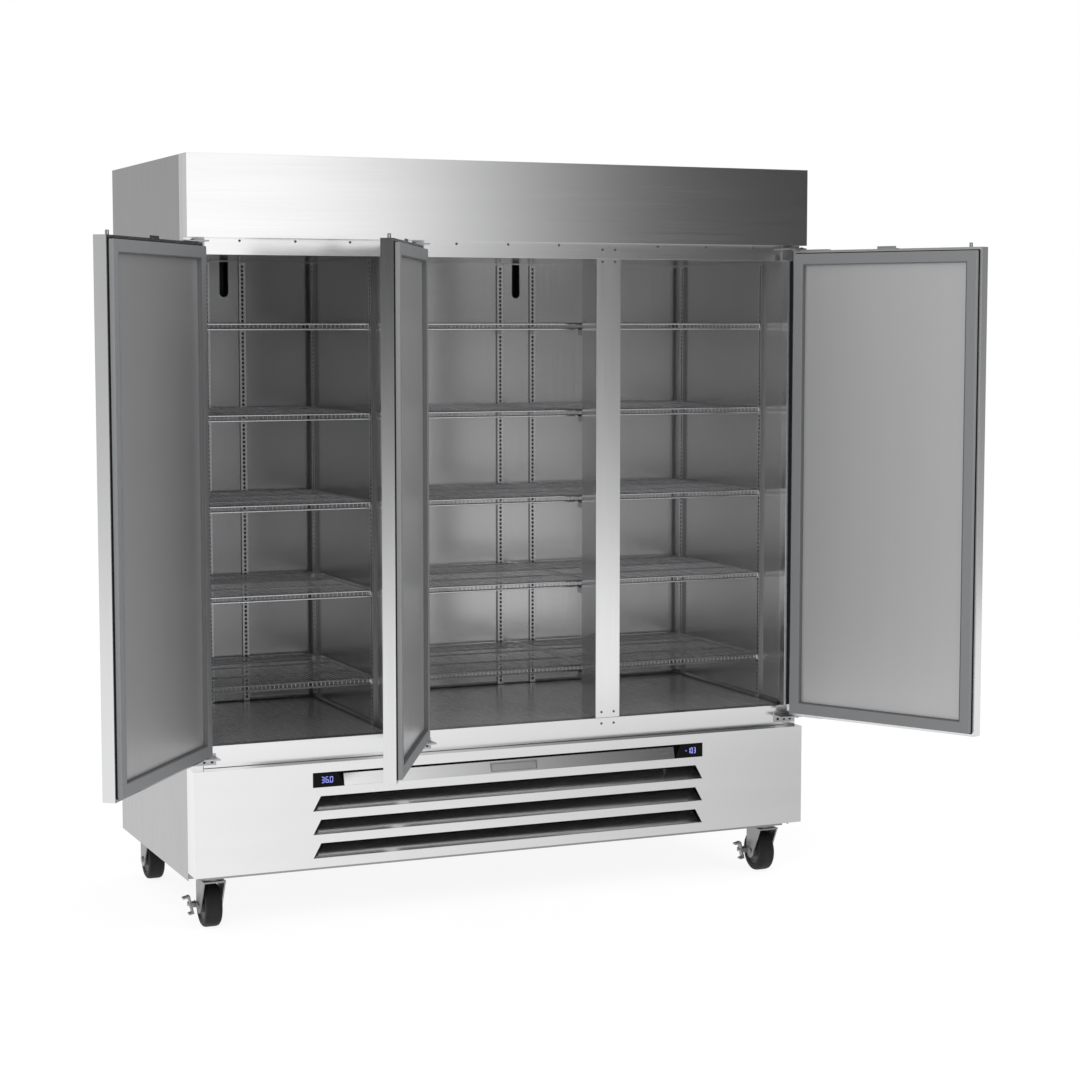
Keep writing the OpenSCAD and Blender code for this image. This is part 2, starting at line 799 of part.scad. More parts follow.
// Flat frame with a magnetic bulb near its outer edge
module door_gasket(i) {
    bulb_h = 2;
    y0 = rear_y + rim_h;
    color("dimgray")
        at_door(i) {
            door_ring(gasket_inset, gasket_inset + gasket_w, y0, y0 + gasket_t - bulb_h);
            door_ring(gasket_inset + 2, gasket_inset + 16, y0, y0 + gasket_t);
        }
}

// Hinge leaves with their bushes at top and bottom, and the catch plate on the door top
module door_hardware(i) {
    catch_w = 62;
    catch_h = 8;
    catch_t = 2;
    catch_x = (edge_x0 + edge_x1 - catch_w) / 2;
    color("silver")
        at_door(i) {
            leaf(door_z1, 1);
            leaf(door_z0, -1);
            block([catch_x, face_y + 6, door_z1], [catch_x + catch_w, rear_y - 6, door_z1 + catch_t]);
            block([catch_x, rear_y - 6 - catch_t, door_z1],
                  [catch_x + catch_w, rear_y - 6, door_z1 + catch_h]);
        }
}

// Leaf on the door edge at height z, facing up or down, with its bush inside the door
module leaf(z, way) {
    translate([0, 0, z])
        mirror([0, 0, way > 0 ? 0 : 1])
            difference() {
                union() {
                    block([edge_x0 + 2, face_y + 2, 0], [edge_x0 + leaf_l, rear_y - 10, leaf_t]);
                    translate([0, 0, -bush_l]) cylinder(h = bush_l + leaf_t, r = bush_r);
                }
                translate([0, 0, -bush_l - 1]) cylinder(h = bush_l + leaf_t + 2, r = pin_r + run_fit);
            }
}

// Plates on the face frame above and below each door, each with an arm that carries a hinge pin
module hinge_brackets() {
    back = 12;
    front_y = hinge_y - 9;
    top_in = 9;
    top_reach = 44;
    top_t = seal_gap - 0.5;
    top_low = opening_top + 2;
    arm_top = door_z1 + leaf_t + clear;
    low_reach = 58;
    low_t = 4;
    low_z0 = floor_z - 52;
    low_z1 = floor_z - 21;
    arm_low = door_z0 - leaf_t - clear;
    pin_l = bush_l - 4;
    color("silver")
        for (i = [0 : 2])
            translate([hinge_x[i], 0, 0])
                mirror([door_hand[i] > 0 ? 0 : 1, 0, 0]) {
                    block([top_in, frame_y - top_t, top_low], [top_reach, frame_y, header_z0 - 0.5]);
                    block([-back, front_y, arm_top], [top_reach, frame_y - top_t - seam, arm_top + arm_t]);
                    translate([0, hinge_y, door_z1 - pin_l])
                        cylinder(h = arm_top + arm_t - door_z1 + pin_l, r = pin_r);
                    block([-back, frame_y - low_t, low_z0], [low_reach, frame_y, low_z1]);
                    block([-back, front_y, arm_low - arm_t], [low_reach, frame_y - low_t - seam, arm_low]);
                    translate([0, hinge_y, arm_low - arm_t])
                        cylinder(h = door_z0 + pin_l - arm_low + arm_t, r = pin_r);
                }
}

// Key plug, its face cut with a key slot
module lock_plug(i) {
    color("silver")
        at_door(i)
            translate([lock_x, plug_end, plug_z])
                rotate([90, 0, 0])
                    difference() {
                        cylinder(h = plug_end - face_y + plug_out, r = plug_r);
                        translate([-1, -5, plug_end - face_y + plug_out - 3]) cube([2, 10, 4]);
                    }
}

module lock_bolt(i) {
    color("silver")
        at_door(i)
            translate([lock_x, bolt_y, door_z1 - bolt_in])
                cylinder(h = bolt_in + bolt_out, r = bolt_r);
}

// Casters

module caster_plates() {
    plate_x = 90;
    plate_y = 76;
    color(dark_steel)
        for (x = [-caster_x, caster_x], y = caster_y)
            translate([x, y, skirt_z])
                difference() {
                    translate([-plate_x / 2, -plate_y / 2, 0]) cube([plate_x, plate_y, plate_t_caster]);
                    translate([0, 0, -1]) cylinder(h = plate_t_caster + 2, r = kingpin_r + run_fit);
                }
}

// Moves to the swivel axis of one caster
module at_caster(side, row) {
    translate([side * caster_x, caster_y[row], 0]) children();
}

// Side outline of a fork leg, from the crown down to the axle
module leg_outline() {
    difference() {
        union() {
            polygon([[-leg_half, crown_z], [leg_half, crown_z],
                     [trail + eye_r, wheel_r], [trail - eye_r, wheel_r]]);
            translate([trail, wheel_r]) circle(eye_r);
        }
        translate([trail, wheel_r]) circle(axle_r + run_fit);
    }
}

// Fork with its crown, kingpin and axle bolt; a braked one carries ears for the lever
module caster_fork(side, row, braked) {
    head_r = 9;
    head_t = 4;
    race_r = 32;
    bar_half = 8;
    ear_half = 6;
    color(dark_steel)
        at_caster(side, row) {
            translate([0, 0, crown_z]) {
                cylinder(h = race_z - crown_z, r = race_r);
                cylinder(h = base_z - 0.5 - crown_z, r = kingpin_r);
            }
            block([-fork_out, -leg_half, crown_z - fork_t], [fork_out, leg_half, crown_z]);
            for (x = [-fork_out, fork_gap]) side_plate(x, fork_t) leg_outline();
            translate([-fork_out - head_t, trail, wheel_r])
                rotate([0, 90, 0]) {
                    cylinder(h = head_t - 0.1, r = head_r);
                    cylinder(h = 2 * (fork_out + head_t), r = axle_r);
                    translate([0, 0, head_t + 2 * fork_out + 0.1]) cylinder(h = head_t - 0.1, r = head_r);
                }
            if (braked) {
                side_plate(-fork_out, fork_t)
                    difference() {
                        translate([trail, lever_z - bar_half])
                            square([lever_y + lever_w / 2 + ear_t + clear - trail, 2 * bar_half]);
                        translate([trail, wheel_r]) circle(axle_r + run_fit);
                    }
                for (y = [lever_y - lever_w / 2 - ear_t - clear, lever_y + lever_w / 2 + clear])
                    difference() {
                        block([lever_x - ear_half, y, lever_z - ear_half],
                              [-fork_out, y + ear_t, lever_z + ear_half]);
                        translate([lever_x, y - 1, lever_z])
                            rotate([-90, 0, 0]) cylinder(h = ear_t + 2, r = lever_pin_r + run_fit);
                    }
            }
        }
}

// Tyre with rounded shoulders on a narrower web and a wide hub
module caster_wheel(side, row) {
    hub_r = 18;
    hub_half = fork_gap - clear;
    tyre_half = tyre_w / 2;
    tyre_h = 22;
    shoulder = 10;
    web_in = 4;
    color(rubber)
        at_caster(side, row)
            translate([0, trail, wheel_r])
                rotate([0, 90, 0])
                    rotate_extrude()
                        difference() {
                            union() {
                                translate([0, -hub_half]) square([hub_r, 2 * hub_half]);
                                translate([0, -tyre_half + web_in])
                                    square([wheel_r - shoulder, tyre_w - 2 * web_in]);
                                translate([wheel_r - tyre_h, -tyre_half])
                                    square([tyre_h - shoulder, tyre_w]);
                                translate([0, -tyre_half + shoulder])
                                    square([wheel_r, tyre_w - 2 * shoulder]);
                                for (y = [-tyre_half + shoulder, tyre_half - shoulder])
                                    translate([wheel_r - shoulder, y]) circle(shoulder);
                            }
                            translate([-axle_r, -hub_half - 1])
                                square([2 * axle_r + run_fit, 2 * hub_half + 2]);
                        }
}

// Rocking lever beside the fork, with a pad at each end
module brake_lever(side) {
    bar_t = 5;
    pad_low = 12;
    pad_top = 18;
    pin_l = lever_w + 2 * (ear_t + clear) + 2;
    color(dark_steel)
        at_caster(side, 0)
            translate([lever_x, lever_y, lever_z]) {
                rotate([90, 0, 0]) {
                    cylinder(h = lever_w - 2, r = lever_hub_r, center = true);
                    cylinder(h = pin_l, r = lever_pin_r, center = true);
                }
                rotate([0, -lever_tilt, 0]) {
                    block([-bar_t / 2, -lever_w / 2, -lever_len / 2],
                          [bar_t / 2, lever_w / 2, lever_len / 2]);
                    block([-pad_low, -lever_w / 2 + 1, -lever_len / 2],
                          [0, lever_w / 2 - 1, -lever_len / 2 + bar_t]);
                    block([-pad_top, -lever_w / 2 + 1, lever_len / 2 - bar_t],
                          [0, lever_w / 2 - 1, lever_len / 2]);
                }
            }
}

// Refrigeration

module compressors() {
    foot = 190;
    foot_t = 4;
    rest = 10;
    rest_r = 12;
    rest_in = 15;
    rest_at = foot / 2 - rest_in;
    behind = 160;
    dome_h = 28;
    color(rubber)
        for (x = [-unit_x, unit_x])
            translate([x, cabinet_d - skin_t - behind, deck_z]) {
                translate([-foot / 2, -foot / 2, rest]) cube([foot, foot, foot_t]);
                for (dx = [-rest_at, rest_at], dy = [-rest_at, rest_at])
                    translate([dx, dy, 0]) cylinder(h = rest, r = rest_r);
                translate([0, 0, rest]) {
                    cylinder(h = compressor_h, r = compressor_r);
                    translate([0, 0, compressor_h])
                        cylinder(h = dome_h, r1 = compressor_r, r2 = compressor_r - 26);
                    translate([-14, 0, compressor_h + dome_h]) cylinder(h = 30, r = 5);
                    translate([14, 0, compressor_h + dome_h]) cylinder(h = 20, r = 8);
                    translate([-35, -compressor_r - 24, 30]) cube([70, 40, 60]);
                }
            }
}

// Finned block between two end plates
module coil(w, d, h) {
    end_t = 6;
    fin_pitch = 12;
    groove = 6;
    difference() {
        translate([-w / 2, 0, 0]) cube([w, d, h]);
        for (x = [-w / 2 + end_t + fin_pitch / 2 : fin_pitch : w / 2 - end_t - groove])
            for (y = [-1, d - groove])
                translate([x, y, end_t]) cube([groove, groove + 1, h - 2 * end_t]);
    }
}

module condenser_coils() {
    color("darkgray")
        for (x = [-unit_x, unit_x])
            translate([x, condenser_y, deck_z]) coil(condenser_w, fin_d, condenser_h);
}

module evaporator_coils() {
    color("darkgray")
        for (k = [0, 1])
            translate([evaporator_x[k], evaporator_y, evaporator_z])
                coil(evaporator_w[k], 2 * fin_d, evaporator_h);
}

// Motor on a foot, its shaft pointing along y towards the fan
module motor(foot_h, way) {
    rotate([0, 0, way > 0 ? 0 : 180]) {
        translate([0, fan_depth / 2 + 8, 0])
            rotate([-90, 0, 0]) cylinder(h = motor_l, r = motor_r);
        translate([0, -fan_depth / 2, 0])
            rotate([-90, 0, 0]) cylinder(h = fan_depth + 10, r = shaft_r);
        block([-20, fan_depth / 2 + 20, -foot_h], [20, fan_depth / 2 + 50, -motor_r + 8]);
        block([-40, fan_depth / 2 + 12, -foot_h], [40, fan_depth / 2 + 58, -foot_h + 3]);
    }
}

module fan_motors() {
    color(dark_steel) {
        for (x = [-unit_x, unit_x])
            translate([x, condenser_fan_y, condenser_fan_z]) motor(condenser_fan_z - deck_z, 1);
        for (x = evaporator_x)
            translate([x, evaporator_fan_y, evaporator_fan_z]) motor(evaporator_fan_z - evaporator_z, -1);
    }
}

// Hub with pitched blades, turning on a shaft along y
module fan(r) {
    hub_r = 16;
    blades = 5;
    pitch = 28;
    rotate([-90, 0, 0])
        difference() {
            union() {
                cylinder(h = fan_depth - 6, r = hub_r, center = true);
                for (k = [0 : blades - 1])
                    rotate([0, 0, k * 360 / blades])
                        translate([hub_r - 3, 0, 0])
                            rotate([pitch, 0, 0])
                                translate([0, -0.22 * r, -1]) cube([r - hub_r, 0.44 * r, 2]);
            }
            cylinder(h = 2 * fan_depth, r = shaft_r + run_fit, center = true);
        }
}

module condenser_fan(k) {
    color(dark_steel)
        translate([k * unit_x, condenser_fan_y, condenser_fan_z]) fan(condenser_fan_r);
}

module evaporator_fan(k) {
    color(dark_steel)
        translate([evaporator_x[k], evaporator_fan_y, evaporator_fan_z]) fan(evaporator_fan_r);
}

placed() side_skins();
placed() back_skin();
placed() top_skin();
placed() wall_insulation();
placed() liner(-wall_in, divider_left, 0, mullion_back, riser_x[0]);  // liner_left
placed() liner(divider_right, wall_in, mullion_back, 0, riser_x[1]);  // liner_right
placed() face_frame();
placed() mullions();
placed() frame_screws();
placed() header_panel();
placed() lower_panel();
placed() name_plate();
placed() displays();
placed() base_frame();
placed() pilasters();
placed() shelf_clips();
placed() shelves(0);  // shelves_left
placed() shelves(1);  // shelves_middle
placed() shelves(2);  // shelves_right
placed() hinge_brackets();
placed() caster_plates();
placed() compressors();
placed() condenser_coils();
placed() fan_motors();
placed() evaporator_coils();
placed() door_skin(0);  // door_skin_left
placed() door_skin(1);  // door_skin_middle
placed() door_skin(2);  // door_skin_right
placed() door_core(0);  // door_core_left
placed() door_core(1);  // door_core_middle
placed() door_core(2);  // door_core_right
placed() door_panel(0);  // door_panel_left
placed() door_panel(1);  // door_panel_middle
placed() door_panel(2);  // door_panel_right
placed() door_gasket(0);  // door_gasket_left
placed() door_gasket(1);  // door_gasket_middle
placed() door_gasket(2);  // door_gasket_right
placed() door_hardware(0);  // door_hardware_left
placed() door_hardware(1);  // door_hardware_middle
placed() door_hardware(2);  // door_hardware_right
placed() lock_plug(0);  // lock_plug_left
placed() lock_plug(1);  // lock_plug_middle
placed() lock_plug(2);  // lock_plug_right
placed() lock_bolt(0);  // lock_bolt_left
placed() lock_bolt(1);  // lock_bolt_middle
placed() lock_bolt(2);  // lock_bolt_right
placed() caster_fork(-1, 0, true);  // caster_fork_front_left
placed() caster_fork(1, 0, true);  // caster_fork_front_right
placed() caster_fork(-1, 1, false);  // caster_fork_rear_left
placed() caster_fork(1, 1, false);  // caster_fork_rear_right
placed() caster_wheel(-1, 0);  // caster_wheel_front_left
placed() caster_wheel(1, 0);  // caster_wheel_front_right
placed() caster_wheel(-1, 1);  // caster_wheel_rear_left
placed() caster_wheel(1, 1);  // caster_wheel_rear_right
placed() brake_lever(-1);  // brake_lever_left
placed() brake_lever(1);  // brake_lever_right
placed() condenser_fan(-1);  // condenser_fan_left
placed() condenser_fan(1);  // condenser_fan_right
placed() evaporator_fan(0);  // evaporator_fan_left
placed() evaporator_fan(1);  // evaporator_fan_right
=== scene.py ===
"""Looks of a three-door reach-in refrigerator with its doors standing open.

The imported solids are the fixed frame. This script gives every shown piece its finish, softens the folded
edges of the sheet metal, and replaces the plain shelves, pilasters, gaskets, door pans and wheels by finer
surfaces. It adds small pieces such as the lit readings, floor lips, duct linings, strips and screw heads.
Lengths are metres in the part's own frame: x to the right, y into the cabinet, z up.
"""

import json
import logging
from dataclasses import dataclass, field
from enum import Enum
from math import cos, pi, radians, sin

import bmesh
import bpy
import numpy as np
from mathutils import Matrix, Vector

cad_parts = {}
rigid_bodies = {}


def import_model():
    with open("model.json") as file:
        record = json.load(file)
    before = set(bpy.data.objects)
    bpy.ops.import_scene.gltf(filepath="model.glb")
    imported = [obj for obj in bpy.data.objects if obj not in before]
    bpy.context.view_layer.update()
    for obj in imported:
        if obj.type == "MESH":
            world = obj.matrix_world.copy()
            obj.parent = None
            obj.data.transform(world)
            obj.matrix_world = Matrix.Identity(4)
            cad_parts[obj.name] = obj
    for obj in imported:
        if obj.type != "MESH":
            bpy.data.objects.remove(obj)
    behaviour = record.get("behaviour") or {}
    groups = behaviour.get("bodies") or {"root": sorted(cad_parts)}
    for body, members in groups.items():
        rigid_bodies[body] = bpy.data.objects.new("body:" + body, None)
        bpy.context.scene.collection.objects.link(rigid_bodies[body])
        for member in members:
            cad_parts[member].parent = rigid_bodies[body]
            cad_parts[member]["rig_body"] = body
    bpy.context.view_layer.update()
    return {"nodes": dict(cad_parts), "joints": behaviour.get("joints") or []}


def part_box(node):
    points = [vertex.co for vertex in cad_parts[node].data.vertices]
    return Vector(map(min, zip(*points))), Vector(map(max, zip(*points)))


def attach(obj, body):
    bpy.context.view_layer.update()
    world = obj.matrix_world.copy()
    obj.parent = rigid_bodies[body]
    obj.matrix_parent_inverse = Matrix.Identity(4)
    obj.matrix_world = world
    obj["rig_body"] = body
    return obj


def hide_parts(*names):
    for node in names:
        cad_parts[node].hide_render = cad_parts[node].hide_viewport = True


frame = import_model()
LOG = logging.getLogger("refrigerator")

Points = np.ndarray
Quads = np.ndarray
Triple = tuple[float, float, float]
Colour = Triple
MM = 0.001

# Points closer than this are one point.
MERGE = 0.01 * MM

# Degrees: faces that meet at less than the first become one, and edges past the second are rounded.
FLAT_ANGLE = 0.5
FOLD_ANGLE = 40.0

# Degrees below which an edge is shaded smooth, on copied sheets and on new pieces.
SHEET_ANGLE = 35.0
SMOOTH_ANGLE = 40.0


class Axis(Enum):
    """A direction of the part's frame."""

    X = 0
    Y = 1
    Z = 2


class Side(Enum):
    """A place across the cabinet, as it is seen from the front."""

    LEFT = "left"
    MIDDLE = "middle"
    RIGHT = "right"


class Row(Enum):
    """A place along the cabinet's depth."""

    FRONT = "front"
    REAR = "rear"


# Surfaces


def grid_quads(rows: int, cols: int, wrap_rows: bool = False, wrap_cols: bool = False) -> Quads:
    """Join a grid of points, stored row by row, with quads.

    Args:
        rows: Number of rows.
        cols: Number of points in a row.
        wrap_rows: Whether the last row joins the first.
        wrap_cols: Whether each row closes on itself.

    Returns:
        Point numbers, four to a quad.
    """
    i, j = np.meshgrid(np.arange(rows - (not wrap_rows)), np.arange(cols - (not wrap_cols)), indexing="ij")
    k, m = (i + 1) % rows, (j + 1) % cols
    return np.stack([i * cols + j, i * cols + m, k * cols + m, k * cols + j], axis=-1).reshape(-1, 4)


def ring_cap(start: int, count: int) -> Quads:
    """Close a convex ring of an even number of points with strips from one side of it to the other.

    Args:
        start: Number of the ring's first point.
        count: Points in the ring.

    Returns:
        Point numbers, four to a quad.
    """
    i = np.arange(count // 2 - 1)
    return start + np.stack([i, i + 1, count - 2 - i, count - 1 - i], axis=-1)


def tube_quads(rows: int, cols: int) -> Quads:
    """Join rings, stored one after another, and close the first and the last.

    Args:
        rows: Number of rings.
        cols: Points in a ring, an even number.

    Returns:
        Point numbers, four to a quad: the sides, the first end and the last end.
    """
    ends = ring_cap(0, cols), ring_cap((rows - 1) * cols, cols)
    return np.vstack([grid_quads(rows, cols, wrap_cols=True), *ends])


def repeated(quads: Quads, count: int, stride: int) -> Quads:
    """Copy a set of quads for each of several equal patches, each patch stride points further on."""
    return (quads[None] + (np.arange(count) * stride)[:, None, None]).reshape(-1, 4)


def full_turn(steps: int) -> Points:
    """Angles of equal steps round a full turn."""
    return np.linspace(0, 2 * pi, steps, endpoint=False)


def wire_surface(paths: Points, radius: float, across: Triple, sides: int = 8) -> tuple[Points, Quads]:
    """Round wires along flat paths.

    On each path point p stands a ring p + r (cos a n + sin a b). Here b is the normal of the plane that
    holds the path, and n is b x t, with t the path's own direction at p.

    Args:
        paths: Array of wires, points and coordinates.
        radius: Radius of the wires.
        across: Normal of the plane that the paths lie in.
        sides: Points in a ring, an even number.

    Returns:
        The points and the quads of all the wires, with closed ends.
    """
    count, length = paths.shape[:2]
    step = np.gradient(paths, axis=1)
    along = step / np.linalg.norm(step, axis=-1, keepdims=True)
    b = np.asarray(across, float)
    n = np.cross(b, along)
    a = full_turn(sides)
    ring = np.cos(a)[:, None] * n[:, :, None] + np.sin(a)[:, None] * b
    points = paths[:, :, None] + radius * ring
    return points.reshape(-1, 3), repeated(tube_quads(length, sides), count, length * sides)


def turned_points(profile: Points, axis: Axis, sides: int) -> Points:
    """Turn an outline about an axis: (s, r) becomes s along the axis and r (cos a, sin a) round it.

    Args:
        profile: Pairs of distance along the axis and radius.
        axis: Axis of the turning.
        sides: Steps in a full turn.

    Returns:
        The points, ring by ring.
    """
    a = full_turn(sides)
    along, radius = profile[:, :1], profile[:, 1:]
    spread = [np.repeat(along, sides, 1), radius * np.cos(a), radius * np.sin(a)]
    return np.stack(np.roll(spread, axis.value, axis=0), axis=-1).reshape(-1, 3)


def rectangle_rings(half: tuple[float, float], insets: Points, heights: Points, radii: Points) -> Points:
    """Rounded rectangles in the x-z plane, one for each step of a profile.

    Ring i is the rectangle of half sizes half - inset_i, its corners rounded by radius_i, at y = height_i.
    A corner point is the corner circle's centre plus radius (cos a, sin a) over a quarter turn.

    Args:
        half: Half width and half height of the outermost rectangle.
        insets: How far each ring lies inside that rectangle.
        heights: Place of each ring along y.
        radii: Corner radius of each ring.

    Returns:
        Array of rings, points and coordinates.
    """
    arc = 5
    quarter = np.linspace(0, pi / 2, arc)
    a = (quarter[None] + np.arange(4)[:, None] * pi / 2).ravel()
    sign_x = np.repeat([1, -1, -1, 1], arc)
    sign_z = np.repeat([1, 1, -1, -1], arc)
    r = radii[:, None]
    x = sign_x * (half[0] - insets[:, None] - r) + r * np.cos(a)
    z = sign_z * (half[1] - insets[:, None] - r) + r * np.sin(a)
    return np.stack([x, np.repeat(heights[:, None], 4 * arc, 1), z], axis=-1)


def studs(places: Points, axis: Axis, way: float, radius: float, height: float) -> tuple[Points, Quads]:
    """Low round heads: rings of radius r cos t stand at height h sin t, t from 0 to nearly a right angle.

    Args:
        places: Centres of the feet.
        axis: Axis that the heads stand along.
        way: Whether they stand out in the axis's direction (1) or against it (-1).
        radius: Radius of a head.
        height: Its height.

    Returns:
        The points and the quads of all the heads.
    """
    sides, sunk = 12, 0.2
    t = np.array([0.0, 0.0, 0.5, 1.0, 1.4])
    lift = height * np.sin(t)
    lift[0] = -sunk * height
    head = turned_points(np.stack([way * lift, radius * np.cos(t)], axis=-1), axis, sides)
    points = (places[:, None] + head[None]).reshape(-1, 3)
    return points, repeated(tube_quads(len(t), sides), len(places), len(head))


@dataclass
class Shape:
    """Points and quads of one piece, gathered from several surfaces."""

    points: list[Points] = field(default_factory=list)
    quads: list[Quads] = field(default_factory=list)
    kinds: list[Points] = field(default_factory=list)
    count: int = 0

    def add(self, points: Points, quads: Quads, kinds: Points | int = 0) -> "Shape":
        """Add one surface to the piece.

        Args:
            points: Points of the surface.
            quads: Its quads, counted from its own first point.
            kinds: Which of the piece's finishes each quad takes, or all of them.

        Returns:
            The shape itself.
        """
        flat = points.reshape(-1, 3)
        self.points.append(flat)
        self.quads.append(quads + self.count)
        self.kinds.append(np.broadcast_to(kinds, len(quads)))
        self.count += len(flat)
        return self

    def tube(self, rings: Points) -> "Shape":
        """Add an array of rings, joined one after another and closed at both ends."""
        return self.add(rings, tube_quads(*rings.shape[:2]))

    def band(self, rings: Points) -> "Shape":
        """Add an array of rings of which the last joins the first."""
        return self.add(rings, grid_quads(*rings.shape[:2], True, True))

    def build(self, name: str, body: str, smooth: float) -> bpy.types.Object:
        """Make the piece's mesh and object, and let it ride on a body.

        Args:
            name: Name of the piece.
            body: Body that it moves with.
            smooth: Angle in degrees below which an edge is shaded smooth.

        Returns:
            The object.
        """
        points, quads = np.vstack(self.points), np.vstack(self.quads)
        mesh = bpy.data.meshes.new(name)
        mesh.vertices.add(len(points))
        mesh.vertices.foreach_set("co", points.astype(np.float32).ravel())
        mesh.loops.add(quads.size)
        mesh.loops.foreach_set("vertex_index", quads.astype(np.int32).ravel())
        mesh.polygons.add(len(quads))
        mesh.polygons.foreach_set("loop_start", np.arange(0, quads.size, 4, dtype=np.int32))
        mesh.update(calc_edges=True)
        mesh.validate()
        outward(mesh)
        mesh.polygons.foreach_set("material_index", np.concatenate(self.kinds).astype(np.int32))
        return shown(name, mesh, body, smooth)


def outward(mesh: bpy.types.Mesh) -> None:
    """Turn the faces of closed shells outwards.

    Args:
        mesh: The mesh, changed in place.
    """
    work = bmesh.new()
    work.from_mesh(mesh)
    bmesh.ops.recalc_face_normals(work, faces=work.faces)
    work.to_mesh(mesh)
    work.free()


def shown(name: str, mesh: bpy.types.Mesh, body: str, smooth: float) -> bpy.types.Object:
    """Link a mesh as a piece that rides on a body.

    Args:
        name: Name of the piece.
        mesh: Its mesh, already in place.
        body: Body that it moves with.
        smooth: Angle in degrees below which an edge is shaded smooth.

    Returns:
        The object.
    """
    mesh.shade_smooth()
    mesh.set_sharp_from_angle(angle=radians(smooth))
    piece = bpy.data.objects.new(name, mesh)
    bpy.context.scene.collection.objects.link(piece)
    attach(piece, body)
    LOG.info("%s: %d faces on %s", name, len(mesh.polygons), body)
    return piece


def softened(node: str, width: float, segments: int = 2, flat: bool = False) -> bpy.types.Object:
    """Replace a node by a copy of it whose folded and cut edges are rounded.

    Args:
        node: The node to copy.
        width: Width of the rounding.
        segments: Faces across the rounding.
        flat: Whether large faces keep their own normals right up to the rounding.

    Returns:
        The copy.
    """
    source = frame["nodes"][node]
    mesh = bpy.data.meshes.new(node + "_soft")
    work = bmesh.new()
    work.from_mesh(source.data)
    bmesh.ops.remove_doubles(work, verts=work.verts, dist=MERGE)
    bmesh.ops.dissolve_limit(work, angle_limit=radians(FLAT_ANGLE), verts=work.verts, edges=work.edges)
    work.to_mesh(mesh)
    work.free()
    piece = shown(node + "_soft", mesh, source["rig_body"], SHEET_ANGLE)
    bevel = piece.modifiers.new("rounded edges", "BEVEL")
    bevel.width = width
    bevel.segments = segments
    bevel.limit_method = "ANGLE"
    bevel.angle_limit = radians(FOLD_ANGLE)
    if flat:
        weighted = piece.modifiers.new("flat faces", "WEIGHTED_NORMAL")
        weighted.mode = "FACE_AREA"
        weighted.weight = 100
        weighted.keep_sharp = True
    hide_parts(node)
    return piece


def solids(node: bpy.types.Object) -> list[tuple[Points, Points]]:
    """Boxes of a node's separate solids: joined points come to share the lowest number among them.

    Args:
        node: The node's object.

    Returns:
        Lowest and highest corner of each solid.
    """
    mesh = node.data
    places = np.empty(len(mesh.vertices) * 3, np.float32)
    mesh.vertices.foreach_get("co", places)
    places = places.reshape(-1, 3)
    ends = np.empty(len(mesh.edges) * 2, np.int32)
    mesh.edges.foreach_get("vertices", ends)
    merged = np.unique(np.round(places / MERGE), axis=0, return_inverse=True)[1].ravel()
    a, b = merged[ends.reshape(-1, 2)].T
    label, before = np.arange(merged.max() + 1), None
    while not np.array_equal(label, before):
        before = label.copy()
        np.minimum.at(label, a, before[b])
        np.minimum.at(label, b, before[a])
    owner = label[merged]
    return [(places[owner == k].min(0), places[owner == k].max(0)) for k in np.unique(owner)]


def middle(node: str) -> Points:
    """Centre of a node's box."""
    low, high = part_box(node)
    return (np.array(low) + np.array(high)) / 2


# Finishes


